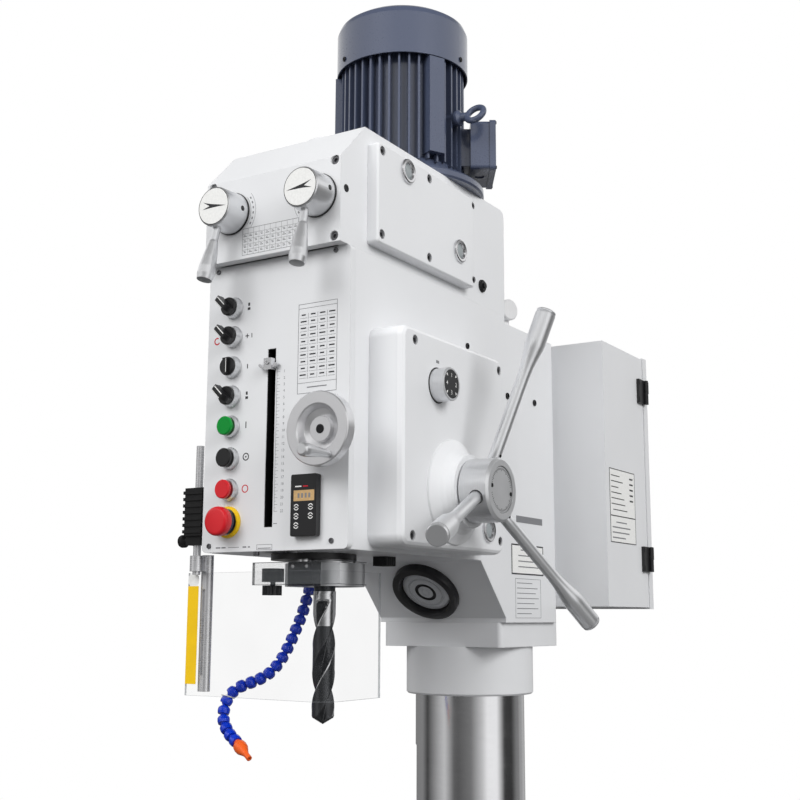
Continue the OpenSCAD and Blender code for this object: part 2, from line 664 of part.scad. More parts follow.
module fan_cowl() color(motor_blue) translate([0, -motor_reach, cowl_low]) difference() {
  rotate_extrude() polygon([
    [cowl_d / 2 - 2.5, 0], [cowl_d / 2, 0], [cowl_d / 2, cowl_h - 20], [cowl_d / 2 - 4, cowl_h - 10],
    [cowl_d / 2 - 14, cowl_h - 3], [cowl_d / 2 - 28, cowl_h], [0, cowl_h], [0, cowl_h - 3],
    [cowl_d / 2 - 28.5, cowl_h - 3], [cowl_d / 2 - 15.5, cowl_h - 5.8], [cowl_d / 2 - 6.5, cowl_h - 12],
    [cowl_d / 2 - 2.5, cowl_h - 21]]);
  for (r = [22 : 12 : 82], a = [0 : 45 : 315]) rotate(a + (r > 50 ? 22.5 : 0)) translate([r, 0, cowl_h - 9])
    translate([0, -r * 0.24, 0]) cube([5, r * 0.48, 12]);
  for (a = cowl_screws) rotate(a) translate([0, 0, 14]) rotate([0, 90, 0])
    translate([0, 0, cowl_d / 2 - 8]) cylinder(r = 3.5, h = 12);
}

module terminal_box() color(motor_blue) motor_place() rotate(box_turn) {
  difference() {
    translate([122, 0, 88]) rotate([90, 0, 90]) linear_extrude(34) plate_2d(104, 90, 6);
    translate([140, -10, 45]) rotate([180, 0, 0]) cylinder(r = 9, h = 10);
  }
  translate([156, 0, 88]) rotate([90, 0, 90]) linear_extrude(11) difference() {
    plate_2d(108, 95, 7);
    plate_2d(90, 77, 4);
  }
  translate([156, 0, 88]) rotate([90, 0, 90]) linear_extrude(6) plate_2d(92, 79, 4);
}

module eye_bolt() color(motor_blue) motor_place() eye_place() {
  translate([0, 0, 101]) rotate_extrude() polygon([
    [0, 0], [6, 0], [6, 17], [14, 17], [14, 22], [8, 26], [7, 38], [0, 38]]);
  translate([0, 0, 155]) rotate([0, 90, 62]) rotate_extrude() translate([16, 0]) circle(5.5, $fn = 32);
}

module motor_rotor() motor_place() {
  color(bare_steel) {
    translate([0, 0, -110]) cylinder(r = 16, h = 385);
    translate([0, 0, high_gear_z - gearbox_top]) rotate(-90) linear_extrude(34) gear_2d(gear_module, motor_teeth, 0.4);
  }
  color(dark_steel) translate([0, 0, 60]) cylinder(r = 66, h = 150);
  color(switch_black) translate([0, 0, 268]) {
    cylinder(r = 28, h = 36);
    cylinder(r = 92, h = 3);
    for (i = [0 : 8]) rotate(i * 40) translate([20, -1.5, 0]) cube([78, 3, 34]);
  }
}

// Gear train inside the gearbox

module gear_cluster() color(bare_steel) translate([0, cluster_y, 0]) {
  translate([0, 0, head_top - 27]) cylinder(r = 15, h = gearbox_h + 17);
  translate([0, 0, high_gear_z]) rotate(90 + 180 / wheel_teeth) linear_extrude(30)
    gear_2d(gear_module, wheel_teeth, 0.4);
  translate([0, 0, low_gear_z]) rotate(-90) linear_extrude(40) gear_2d(gear_module, pinion_teeth, 0.4);
}

module drive_sleeve() color(bare_steel) translate([0, -throat, 0]) difference() {
  union() {
    translate([0, 0, low_gear_z]) rotate(90 + 180 / sleeve_teeth) linear_extrude(36)
      gear_2d(gear_module, sleeve_teeth, 0.4);
    translate([0, 0, 1806]) cylinder(r = 32, h = 170);
    translate([0, 0, head_top + 0.3]) cylinder(r = 46, h = 25);
  }
  translate([0, 0, 1800]) linear_extrude(200) spline_hole_2d();
}
module spline_hole_2d() {
  circle(spline_r - 2.9);
  for (i = [0 : 2]) rotate(i * 60) square([2 * spline_r, 6.4], center = true);
}

// Cabinet

module cabinet_box() color(cast_white) translate([0, cabinet_y, cabinet_z]) difference() {
  translate([-cabinet_w / 2, 0, 0]) cube([cabinet_w, cabinet_d, cabinet_h]);
  translate([4 - cabinet_w / 2, 4, 4]) cube([cabinet_w - 8, cabinet_d, cabinet_h - 8]);
  for (x = [-90, 90]) translate([x, 70, -1]) cylinder(r = 13, h = 8);
}

module cabinet_door() {
  color(cast_white) difference() {
    translate([-cabinet_w / 2 - 2, door_y, cabinet_z - 3]) cube([cabinet_w + 4, door_t, cabinet_h + 6]);
    translate([-cabinet_w / 2 + 1, door_y - 1, cabinet_z]) cube([cabinet_w - 2, door_t - 2, cabinet_h]);
    translate([-190, door_y + door_t + 1, 1606]) rotate([90, 0, 0]) cylinder(r = 9.05, h = 30);
  }
  color(switch_black) for (z = hinge_z) difference() {
    union() {
      translate([hinge_x, door_y - 0.5, z + 0.3]) cylinder(r = 5, h = 24.7);
      translate([cabinet_w / 2 + 2, door_y + 2, z + 0.3]) cube([5, 16, 24.7]);
    }
    translate([hinge_x, door_y - 0.5, z - 1]) cylinder(r = 2.55, h = 30);
  }
}

hinge_z = [cabinet_z + 96, cabinet_z + 441];
module cabinet_hinges() color(switch_black) for (z = hinge_z) {
  translate([hinge_x, door_y - 0.5, z - 25]) cylinder(r = 5, h = 25);
  translate([hinge_x, door_y - 0.5, z - 5]) cylinder(r = 2.5, h = 29);
  translate([cabinet_w / 2, door_y - 34, z - 25]) cube([6, 32, 25]);
  translate([cabinet_w / 2, door_y - 34, z]) cube([6, 26, 25]);
}

module door_lock() color(bare_steel) {
  translate([-190, door_y + door_t + 6, 1606]) rotate([90, 0, 0]) rotate_extrude() polygon([
    [0, 0], [12, 0], [14, 2], [14, 5.8], [9, 5.8], [9, 30], [0, 30]]);
  translate([-193, door_y + door_t + 6, 1597]) cube([6, 8, 18]);
  translate([-200, door_y - 8, 1601]) cube([20, 5, 10]);
}

module electrics() {
  color("silver") translate([-190, cabinet_y + 4, cabinet_z + 40]) cube([380, 3, 430]);
  color("silver") for (z = [110, 240, 370]) translate([-175, cabinet_y + 7, cabinet_z + z]) cube([350, 7, 35]);
  color([0.25, 0.25, 0.28]) {
    for (i = [0 : 3]) translate([-165 + i * 58, cabinet_y + 14, cabinet_z + 345]) cube([46, 80, 84]);
    for (i = [0 : 5]) translate([-165 + i * 40, cabinet_y + 14, cabinet_z + 218]) cube([34, 62, 80]);
  }
  color("gray") for (i = [0 : 15]) translate([-165 + i * 20, cabinet_y + 14, cabinet_z + 104]) cube([18, 40, 46]);
  color(dark_steel) translate([80, cabinet_y + 14, cabinet_z + 220]) cube([90, 90, 80]);
}

// Guard

module rod_clamp() color(switch_black) difference() {
  union() {
    translate([-172, post_y - 15, 1451]) cube([35, 30, 74]);
    translate([-138, -584, 1455]) cube([8, 30, 66]);
    for (i = [0 : 6]) translate([-174, post_y - 17, 1455 + i * 10]) cube([37, 34, 5]);
    translate([-172, post_y - 10, 1437]) cube([30, 20, 15]);
    along_x(-190, post_y, 1444) rotate_extrude() polygon([[0, 0], [9, 0], [10, 2], [10, 8], [6, 12], [6, 19], [0, 19]]);
  }
  translate([post_x, post_y, 1430]) cylinder(r = 6.05, h = 110);
}

module guard_rod() color("silver") translate([post_x, post_y, 1392]) cylinder(r = 6, h = 200);

// Slotted rail that carries the guard, with the ring that turns on the rod
module guard_rail() color("silver") difference() {
  union() {
    translate([rail_x, rail_y, 1216]) linear_extrude(rail_top - 1216) {
      for (x = [-2.5, 2.5]) translate([x, 0]) circle(7.5);
      square([5, 15], center = true);
    }
    translate([post_x, post_y, 1397]) cylinder(r = 10.5, h = 24);
    translate([post_x - 4, post_y, 1397]) cube([12, 16, 24]);
  }
  translate([post_x, post_y, 1390]) cylinder(r = 6.05, h = 40);
  translate([rail_x - 3, rail_y - 8, 1240]) cube([6, 5, 130]);
}

// Folded outline of the clear guard in plan, from the rail round the drill
guard_plan = [[-180, -579.5], [-100, -579.5], [-20, -586], [66, -591], [96, -567], [96, -455]];
sheet_t = 4;
sheet_inset = [[0, sheet_t], [0, sheet_t], [0, sheet_t], [-1, sheet_t], [-sheet_t, 2], [-sheet_t, 0]];
module guard_sheet() color([0.85, 0.9, 0.92, 0.4]) difference() {
  union() {
    translate([0, 0, 1210]) linear_extrude(185)
      polygon(concat(guard_plan, [for (i = [5 : -1 : 0]) guard_plan[i] + sheet_inset[i]]));
    translate([-71, -558, 1376]) cube([163, 5, 34]);
    translate([87, -556, 1376]) cube([5, 66, 34]);
    translate([-71, -554, 1376]) cube([37, 28, 5]);
  }
  translate([-49, -535, 1370]) cylinder(r = 4.05, h = 20);
}

// Star knob under the guard's bracket, with its clamp disc on top
module guard_knob() color(switch_black) translate([-49, -535, 0]) {
  translate([0, 0, 1361]) linear_extrude(14.7) {
    circle(11);
    for (i = [0 : 4]) rotate(i * 72) translate([11.5, 0]) circle(4.5);
  }
  translate([0, 0, 1375]) cylinder(r = 4, h = 8);
  translate([0, 0, 1381.3]) cylinder(r = 17, h = 20);
}

// Coolant hose

// Turns +Z to the direction d
module point_to(d) rotate([0, acos(d[2] / norm(d)), atan2(d[1], d[0])]) children();

// One link: a ball at the start, a neck and a socket whose centre is the next ball's
module hose_link(s) {
  rotate_extrude() difference() {
    union() {
      intersection() {
        circle(link_ball);
        translate([0, -2.6]) square([20, 20]);
      }
      polygon([
        [0, 0], [4.2, 0], [4.2, 4.8], [8.4, 8], [9.8, 10.5], [9.8, s - 1], [8.8, s + 2.6], [0, s + 2.6]]);
    }
    translate([-20, -50]) square([22.6, 200]);
    translate([0, s]) circle(link_ball + link_gap);
  }
}

module coolant_hose() color("blue") {
  translate([hose_route[0][0], hose_route[0][1], hose_route[0][2]]) rotate_extrude() difference() {
    polygon([[2.6, -2.6], [8.8, -2.6], [9.8, 1], [9.8, 12], [14, 14], [14, 40], [2.6, 40]]);
    circle(link_ball + link_gap);
  }
  for (i = [0 : len(hose_route) - 2]) let (d = hose_route[i + 1] - hose_route[i])
    translate(hose_route[i]) point_to(d) hose_link(norm(d));
}

module hose_nozzle() color("orange") translate(hose_route[len(hose_route) - 1]) point_to([15, -5, -9])
  rotate_extrude() difference() {
    union() {
      intersection() {
        circle(link_ball);
        translate([0, -2.6]) square([20, 20]);
      }
      polygon([
        [0, 0], [4.2, 0], [4.2, 5], [9.8, 9], [10.6, 14], [10, 20], [5.6, 30], [4.4, 34], [4.4, 44], [0, 44]]);
    }
    translate([-20, -50]) square([22, 200]);
  }

// Table, arm and lift

module table_arm() color(cast_white) difference() {
  union() {
    translate([0, 0, arm_low]) cylinder(r = arm_r, h = 130);
    intersection() {
      side_profile(300) polygon([
        [-40, arm_low + 4], [-200, arm_low + 20], [-560, arm_top - 52], [-572, arm_top], [-40, arm_top]]);
      translate([0, 0, arm_low]) linear_extrude(140) polygon([
        [-130, -40], [-95, -220], [-80, -380], [-80, -572], [80, -572], [80, -380], [95, -220], [130, -40]]);
    }
    translate([0, -throat, arm_top - 40]) cylinder(r = 125, h = 40);
    rack_side() translate([40, -75, arm_low + 4]) cube([136, 150, 122]);
    translate([-36, 120, arm_low]) cube([72, 70, 130]);
  }
  translate([0, 0, arm_low - 1]) cylinder(r = column_r + 0.06, h = 140, $fn = 128);
  translate([-2, 60, arm_low - 1]) cube([4, 150, 140]);
  // Lift pinion chamber, its shaft bore and the clamp screw's bore
  rack_side() translate([lift_reach, 0, lift_z]) rotate([90, 0, 0]) {
    translate([0, 0, -21]) cylinder(r = lift_r + rack_module + 1, h = 42);
    translate([0, 0, -60]) cylinder(r = 12.05, h = 200);
  }
  translate([-50, 165, arm_low + 65]) rotate([0, 90, 0]) cylinder(r = 9.05, h = 100);
}

module table() color(bare_steel) difference() {
  translate([0, -throat, arm_top]) linear_extrude(table_t) plate_2d(table_w, table_l, 12);
  for (x = [-170, 0, 170]) translate([x, -throat + table_l, table_top]) rotate([90, 0, 0])
    linear_extrude(2 * table_l) tee_slot_2d();
}

module lift_crank() color(bare_steel) rack_side() translate([lift_reach, 0, lift_z]) rotate([90, 0, 0]) {
  translate([0, 0, -19]) rotate([0, 0, 180]) linear_extrude(38) gear_2d(rack_module, lift_teeth, 0.3);
  translate([0, 0, -58]) cylinder(r = 12, h = 236);
  translate([0, 0, 158]) cylinder(r = 22, h = 26);
  translate([0, 0, 171]) rotate([0, 90, 0]) cylinder(r = 8, h = crank_r);
  translate([crank_r, 0, 158]) cylinder(r = 13, h = 27);
  translate([crank_r, 0, 185]) rotate_extrude() polygon([
    [0, 0], [8, 0], [11, 20], [13, 60], [12, 90], [8, 100], [0, 100]]);
}

module table_clamp_lever() color(bare_steel) translate([0, 165, arm_low + 65]) {
  rotate([0, 90, 0]) translate([0, 0, -44]) cylinder(r = 9, h = 88);
  rotate([0, 90, 0]) translate([0, 0, 36.4]) cylinder(r = 18, h = 26);
  rotate([0, 90, 0]) translate([0, 0, -52]) cylinder(r = 16, h = 15.6, $fn = 6);
  translate([50, 0, 0]) rotate([-50, 0, 0]) rotate_extrude() polygon([
    [0, 0], [8, 0], [8, 120], [13, 130], [16, 142], [13, 154], [8, 158], [0, 158]]);
}

base();
column_foot();
foot_bolts();
column();
column_rack();
column_clamp();
head_casting();
front_panel();
gearbox_housing();
gearbox_cover();
cap_screws();
sight_glasses();
filler_cap();
feed_box();
work_lamp();
motor_frame();
fan_cowl();
terminal_box();
eye_bolt();
motor_rotor();
gear_cluster();
drive_sleeve();
cabinet_box();
cabinet_door();
cabinet_hinges();
door_lock();
electrics();
readout_box();
handwheel();
handwheel_grip();
speed_lever_left();
speed_lever_right();
selector_1();
selector_2();
selector_3();
selector_4();
switch_bezels();
green_button();
black_button();
red_button();
emergency_stop();
feed_dial();
feed_hub();
feed_handles();
feed_pinion();
quill();
spindle();
drill_bit();
depth_rod();
rod_clamp();
guard_rod();
guard_rail();
guard_sheet();
guard_knob();
coolant_hose();
hose_nozzle();
table_arm();
table();
lift_crank();
table_clamp_lever();
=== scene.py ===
"""Looks of a gear-head pillar drill: finishes, printed marks, glass, screws and the studio round it.

Every size in the classes is in millimetres, in the frame's own axes: the machine faces -Y, +X is the side
with the feed handles, +Z is up and the floor is z = 0.
"""
import logging
import math
from dataclasses import dataclass, field
from enum import Enum
from typing import Iterable, Sequence, Union

import bmesh
import bpy
from mathutils import Matrix, Vector


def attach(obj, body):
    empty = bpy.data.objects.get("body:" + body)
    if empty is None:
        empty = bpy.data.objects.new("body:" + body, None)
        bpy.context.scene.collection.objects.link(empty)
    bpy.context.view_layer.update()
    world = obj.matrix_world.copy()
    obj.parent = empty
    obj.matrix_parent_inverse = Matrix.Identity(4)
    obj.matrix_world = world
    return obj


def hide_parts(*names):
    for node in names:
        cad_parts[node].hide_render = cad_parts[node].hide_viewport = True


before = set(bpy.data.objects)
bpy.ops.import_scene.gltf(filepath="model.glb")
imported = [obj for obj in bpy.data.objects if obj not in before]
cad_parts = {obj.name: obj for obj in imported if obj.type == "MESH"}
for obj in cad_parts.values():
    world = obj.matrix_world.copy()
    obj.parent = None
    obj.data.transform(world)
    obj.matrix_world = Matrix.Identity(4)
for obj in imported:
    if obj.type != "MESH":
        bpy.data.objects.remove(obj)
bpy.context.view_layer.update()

LOG = logging.getLogger("pillar_drill")
MM = 0.001

# How far marks stand out, in millimetres: fine print, bold print, label stock and print on a label
PRINT = 0.15
BOLD = 0.2
STOCK = 0.3
STOCK_PRINT = 0.45

Triple = tuple[float, float, float]
Pair = tuple[float, float]
Box = tuple[float, float, float, float]  # middle, width and height of a rectangle
Value = Union["Socket", float, int, Sequence[float]]


# Shader toolkit


class Socket:
    """One output of a node tree, which takes part in Python expressions."""

    def __init__(self, tree: "Tree", link: bpy.types.NodeSocket) -> None:
        """Keeps the tree and the node's output socket."""
        self.tree = tree
        self.link = link

    def _maths(self, operation: str, *values: Value) -> "Socket":
        """Adds one Math node and returns its result."""
        return self.tree.node("ShaderNodeMath", {"operation": operation}, dict(enumerate(values)))

    def __add__(self, other: Value) -> "Socket":
        """Returns self + other."""
        return self._maths("ADD", self, other)

    __radd__ = __add__

    def __sub__(self, other: Value) -> "Socket":
        """Returns self - other."""
        return self._maths("SUBTRACT", self, other)

    def __rsub__(self, other: Value) -> "Socket":
        """Returns other - self."""
        return self._maths("SUBTRACT", other, self)

    def __mul__(self, other: Value) -> "Socket":
        """Returns self * other."""
        return self._maths("MULTIPLY", self, other)

    __rmul__ = __mul__

    def __truediv__(self, other: Value) -> "Socket":
        """Returns self / other."""
        return self._maths("DIVIDE", self, other)

    def __pow__(self, other: Value) -> "Socket":
        """Returns self to the power of other."""
        return self._maths("POWER", self, other)

    def __gt__(self, other: Value) -> "Socket":
        """Returns 1 where self is over other, and 0 elsewhere."""
        return self._maths("GREATER_THAN", self, other)

    def clipped(self) -> "Socket":
        """Returns self held between 0 and 1."""
        return self._maths("MINIMUM", self._maths("MAXIMUM", self, 0.0), 1.0)


class Tree:
    """A shader node tree with one way to add a node."""

    def __init__(self, nodes: bpy.types.NodeTree) -> None:
        """Empties the tree that it wraps."""
        self.nodes = nodes
        nodes.nodes.clear()

    def node(self, kind: str, settings: dict | None = None, inputs: dict | None = None,
             out: int | str = 0) -> "Socket":
        """Adds a node.

        Args:
            kind: the node's type.
            settings: its properties, set before its inputs; "stops" holds a ramp's stops.
            inputs: values or links of its sockets, by name or place.
            out: name or place of the output that is returned.

        Returns:
            The chosen output, or the first input of a node without outputs.
        """
        made = self.nodes.nodes.new(kind)
        for name, value in (settings or {}).items():
            if name == "stops":
                self._stops(made.color_ramp, value)
            else:
                setattr(made, name, value)
        for name, value in (inputs or {}).items():
            if isinstance(value, Socket):
                self.nodes.links.new(value.link, made.inputs[name])
            else:
                made.inputs[name].default_value = value
        return Socket(self, made.outputs[out] if made.outputs else made.inputs[0])

    @staticmethod
    def _stops(ramp: bpy.types.ColorRamp, stops: Sequence[Pair]) -> None:
        """Sets a grey ramp's stops.

        Args:
            ramp: the ramp.
            stops: place and tone of each stop.
        """
        while len(ramp.elements) < len(stops):
            ramp.elements.new(0.5)
        for element, (place, tone) in zip(ramp.elements, stops):
            element.position = place
            element.color = grey(tone)

    def coords(self) -> Socket:
        """Returns the place on the piece, in metres."""
        return self.node("ShaderNodeTexCoord", out="Object")

    def axis(self, place: Socket, name: str) -> Socket:
        """Returns one coordinate of a place."""
        return self.node("ShaderNodeSeparateXYZ", {}, {0: place}, out=name)

    def vector(self, operation: str, place: Socket, other: Triple = (1.0, 1.0, 1.0),
               out: int | str = 0) -> Socket:
        """Returns a place worked on by a Vector Math node."""
        return self.node("ShaderNodeVectorMath", {"operation": operation}, {0: place, 1: other}, out)

    def ramp(self, share: Socket, stops: Sequence[Pair]) -> Socket:
        """Returns the grey at share on a ramp with these stops."""
        return self.node("ShaderNodeValToRGB", {"stops": stops}, {"Fac": share})

    def ray(self, kind: str) -> Socket:
        """Returns 1 for light rays of a kind, and 0 for others."""
        return self.node("ShaderNodeLightPath", out=f"Is {kind} Ray")

    def noise(self, place: Socket, scale: float, detail: float = 2.0,
              stretch: Triple = (1.0, 1.0, 1.0)) -> Socket:
        """Returns smooth noise around 0.5.

        Args:
            place: the coordinates.
            scale: features per metre.
            detail: octaves.
            stretch: factor of the scale along each axis.

        Returns:
            The noise.
        """
        stretched = self.vector("MULTIPLY", place, stretch)
        return self.node("ShaderNodeTexNoise", {}, {"Vector": stretched, "Scale": scale, "Detail": detail})

    def blend(self, share: Value, low: Value, high: Value) -> Socket:
        """Returns a colour between low and high."""
        return self.node("ShaderNodeMix", {"data_type": "RGBA"}, {0: share, 6: low, 7: high}, out=2)

    def bump(self, height: Socket, depth: float, edge: float) -> Socket:
        """Returns a normal with fine relief and softened edges.

        Args:
            height: the relief, 0 to 1.
            depth: its depth in millimetres.
            edge: radius of the softened edges in millimetres.

        Returns:
            The normal.
        """
        soft = self.node("ShaderNodeBevel", {"samples": 4}, {"Radius": edge * MM})
        return self.node("ShaderNodeBump", {}, {
            "Strength": 1.0, "Distance": depth * MM, "Height": height, "Normal": soft})

    def surface(self, inputs: dict) -> Socket:
        """Returns a principled surface with these inputs."""
        return self.node("ShaderNodeBsdfPrincipled", {}, inputs)


def tint(colour: Triple, factor: float = 1.0) -> tuple[float, float, float, float]:
    """Turns a colour as seen on a screen, 0 to 255, into scene values.

    Args:
        colour: red, green and blue.
        factor: brightness factor.

    Returns:
        Red, green, blue and a full alpha.
    """
    shares = [c / 255 for c in colour]
    linear = [s / 12.92 if s <= 0.04045 else ((s + 0.055) / 1.055) ** 2.4 for s in shares]
    return (*(min(v * factor, 1.0) for v in linear), 1.0)


def grey(tone: float) -> tuple[float, float, float, float]:
    """Returns a plain grey in scene values."""
    return (tone, tone, tone, 1.0)


# Finishes


class Grain(Enum):
    """Which way the fine lines of a worked metal run, as stretches of its noise."""

    EVEN = (1.0, 1.0, 1.0)
    ALONG_Y = (1.0, 0.02, 1.0)
    TURNED_X = (1.0, 0.04, 0.04)
    TURNED_Y = (0.04, 1.0, 0.04)
    TURNED_Z = (0.04, 0.04, 1.0)


@dataclass(frozen=True)
class Finish:
    """A surface finish. Subclasses lay out its shader."""

    name: str
    colour: Triple
    roughness: float = 0.4

    def material(self) -> bpy.types.Material:
        """Makes the finish's material once. Its name is none of the record's material slots.

        Returns:
            The material.
        """
        made = bpy.data.materials.get(self.name)
        if made is None:
            made = bpy.data.materials.new(self.name)
            made.use_nodes = True
            tree = Tree(made.node_tree)
            tree.node("ShaderNodeOutputMaterial", {}, {"Surface": self.shader(tree)})
        return made

    def shader(self, tree: Tree) -> Socket:
        """Returns the finish's surface in a tree."""
        raise NotImplementedError

    def varied(self, tree: Tree, share: Socket, darker: float, lighter: float) -> Socket:
        """Returns the colour, varied by share from this much darker to this much lighter."""
        return tree.blend(share, tint(self.colour, 1 - darker), tint(self.colour, 1 + lighter))


@dataclass(frozen=True)
class Enamel(Finish):
    """Paint over a casting or sheet: faint orange peel, uneven casting under it and a clear top."""

    peel: float = 0.03
    casting: float = 0.12
    coat: float = 0.25
    edge: float = 2.0
    drift: float = 0.05

    def shader(self, tree: Tree) -> Socket:
        """Lays out the paint.

        Args:
            tree: the material's tree.

        Returns:
            The surface.
        """
        place = tree.coords()
        patch = tree.noise(place, scale=5.0, detail=3.0)
        peel = tree.noise(place, scale=420.0, detail=1.0)
        casting = tree.noise(place, scale=38.0, detail=3.0)
        relief = peel * self.peel + casting * self.casting
        return tree.surface({
            "Base Color": self.varied(tree, patch, self.drift, self.drift),
            "Roughness": (patch - 0.5) * 0.12 + (peel - 0.5) * 0.1 + self.roughness,
            "Coat Weight": self.coat, "Coat Roughness": 0.12,
            "Normal": tree.bump(relief, 1.0, self.edge)})


@dataclass(frozen=True)
class Metal(Finish):
    """Bare worked metal with fine tool lines, cloudy roughness and faint stains."""

    grain: Grain = Grain.EVEN
    lines: float = 700.0
    depth: float = 0.01
    metallic: float = 1.0
    spread: float = 0.14
    edge: float = 0.8
    patchy: float = 1.0

    def shader(self, tree: Tree) -> Socket:
        """Lays out the metal.

        Args:
            tree: the material's tree.

        Returns:
            The surface.
        """
        place = tree.coords()
        line = tree.noise(place, self.lines, 3.0, self.grain.value)
        cloud = tree.noise(place, scale=22.0, detail=4.0)
        return tree.surface({
            "Base Color": self.varied(tree, cloud * 0.5 + line * 0.5, 0.14 * self.patchy, 0.12 * self.patchy),
            "Metallic": self.metallic,
            "Roughness": ((line - 0.5) * self.spread + (cloud - 0.5) * (0.16 * self.patchy)
                          + self.roughness).clipped(),
            "Normal": tree.bump(line, self.depth, self.edge)})


@dataclass(frozen=True)
class Plastic(Finish):
    """Moulded plastic or rubber with a fine pebbled skin."""

    pebble: float = 0.02
    edge: float = 0.5
    coat: float = 0.0
    gloss: float = 0.5

    def shader(self, tree: Tree) -> Socket:
        """Lays out the plastic.

        Args:
            tree: the material's tree.

        Returns:
            The surface.
        """
        place = tree.coords()
        pebble = tree.noise(place, scale=1500.0, detail=1.0)
        patch = tree.noise(place, scale=30.0)
        return tree.surface({
            "Base Color": self.varied(tree, patch, 0.1, 0.1),
            "Roughness": (patch - 0.5) * 0.12 + (pebble - 0.5) * 0.1 + self.roughness,
            "Coat Weight": self.coat, "Coat Roughness": 0.08, "Specular IOR Level": self.gloss,
            "Normal": tree.bump(pebble, self.pebble, self.edge)})


@dataclass(frozen=True)
class Clear(Finish):
    """Clear plastic: thin where it is looked through, denser at a glancing view."""

    alpha: float = 0.1
    rim: float = 0.5

    def shader(self, tree: Tree) -> Socket:
        """Lays out the clear plastic.

        Args:
            tree: the material's tree.

        Returns:
            The surface.
        """
        place = tree.coords()
        haze = tree.noise(place, scale=16.0, detail=3.0)
        glance = tree.node("ShaderNodeLayerWeight", {}, {"Blend": 0.35}, out="Facing")
        return tree.surface({
            "Base Color": self.varied(tree, haze, 0.04, 0.0),
            "Roughness": self.roughness + haze * 0.06,
            "Specular IOR Level": 0.3,
            "Alpha": (glance ** 3.0 * self.rim + self.alpha + (haze - 0.5) * 0.03).clipped()})


@dataclass(frozen=True)
class Ink(Finish):
    """Printed mark or label stock, slightly uneven."""

    def shader(self, tree: Tree) -> Socket:
        """Lays out the ink.

        Args:
            tree: the material's tree.

        Returns:
            The surface.
        """
        patch = tree.noise(tree.coords(), scale=260.0)
        return tree.surface({
            "Base Color": self.varied(tree, patch, 0.12, 0.1),
            "Roughness": (patch - 0.5) * 0.2 + self.roughness})


@dataclass(frozen=True)
class Split(Finish):
    """Two finishes on one solid, parted by a plane across an axis and, if given, by an upright cylinder."""

    below: Finish | None = None
    above: Finish | None = None
    axis: str = "Z"
    level: float = 0.0
    ring: Triple | None = None

    def shader(self, tree: Tree) -> Socket:
        """Lays out both finishes, chosen by place. Outside the cylinder the upper one shows too.

        Args:
            tree: the material's tree.

        Returns:
            The surface.
        """
        place = tree.coords()
        share = tree.axis(place, self.axis) > self.level * MM
        if self.ring:
            x, y, radius = (v * MM for v in self.ring)
            plan = tree.vector("MULTIPLY", place, (1.0, 1.0, 0.0))
            away = tree.vector("DISTANCE", plan, (x, y, 0.0), "Value")
            share = (share + (away > radius)).clipped()
        return tree.node("ShaderNodeMixShader", {}, {
            0: share, 1: self.below.shader(tree), 2: self.above.shader(tree)})


CAST_WHITE = Enamel("cast_white_enamel", (231, 232, 234), 0.36)
SHEET_WHITE = Enamel("sheet_white_enamel", (228, 229, 231), 0.4, peel=0.05, casting=0.0, coat=0.15, edge=1.2)
MOTOR_BLUE = Enamel("motor_slate_enamel", (76, 84, 106), 0.3, peel=0.05, casting=0.1, coat=0.6, edge=1.5,
                    drift=0.08)
COLUMN_STEEL = Metal("column_ground_steel", (230, 230, 232), 0.14, spread=0.06, grain=Grain.TURNED_Z,
                     lines=900, depth=0.004)
BRIGHT_STEEL = Metal("bright_steel", (226, 226, 228), 0.18, grain=Grain.TURNED_Z, lines=900, depth=0.003)
BARE_STEEL = Metal("machined_steel", (176, 177, 180), 0.34, grain=Grain.TURNED_Z)
TABLE_STEEL = Metal("table_ground_steel", (160, 161, 164), 0.36, grain=Grain.ALONG_Y, lines=500, depth=0.02,
                    edge=1.0)
ALLOY = Metal("worked_alloy", (222, 223, 225), 0.32, metallic=0.95, depth=0.02, lines=900, edge=1.0)
WHEEL_ALLOY = Metal("turned_alloy", (234, 234, 236), 0.3, grain=Grain.TURNED_Y, metallic=0.85, lines=800,
                    edge=1.2, spread=0.05, depth=0.003, patchy=0.25)
GRIP_ALLOY = Metal("grip_alloy", (230, 231, 233), 0.32, metallic=0.85, spread=0.06, depth=0.004, edge=1.0,
                   patchy=0.3)
HUB_ALLOY = Metal("hub_alloy", (224, 225, 227), 0.34, grain=Grain.TURNED_X, metallic=0.75, lines=800,
                  edge=1.2)
CAP_ALLOY = Metal("cap_alloy", (236, 236, 237), 0.36, metallic=0.15, grain=Grain.TURNED_X, lines=800)
RAIL_CHROME = Metal("rail_chrome", (234, 234, 236), 0.28, grain=Grain.TURNED_Z, lines=900, metallic=0.7,
                    depth=0.003)
SCREW_STEEL = Metal("screw_steel", (118, 118, 121), 0.3, metallic=0.8, depth=0.004, edge=0.4)
BLACK_STEEL = Metal("black_oxide_steel", (40, 40, 42), 0.42, metallic=0.6, depth=0.01)
DRILL_BLACK = Metal("drill_oxide", (78, 79, 81), 0.3, metallic=0.8, depth=0.02, lines=500)
BLACK = Plastic("moulded_black", (22, 22, 24), 0.36, coat=0.1)
RUBBER = Plastic("black_rubber", (16, 16, 17), 0.6, pebble=0.05)
GREY = Plastic("grey_plastic", (150, 152, 155), 0.36)
LENS = Plastic("lamp_lens", (198, 200, 203), 0.28, coat=0.3)
GREEN = Plastic("moulded_green", (0, 136, 48), 0.3, gloss=0.3)
NAVY = Plastic("navy_plastic", (30, 48, 80), 0.35)
RED = Plastic("moulded_red", (206, 22, 34), 0.3, coat=0.25)
YELLOW = Plastic("yellow_plastic", (247, 200, 6), 0.4)
BLUE = Plastic("blue_hose_plastic", (0, 52, 196), 0.16, coat=0.5, edge=0.8)
ORANGE = Plastic("orange_nozzle_plastic", (236, 98, 30), 0.34, coat=0.2, edge=0.8)
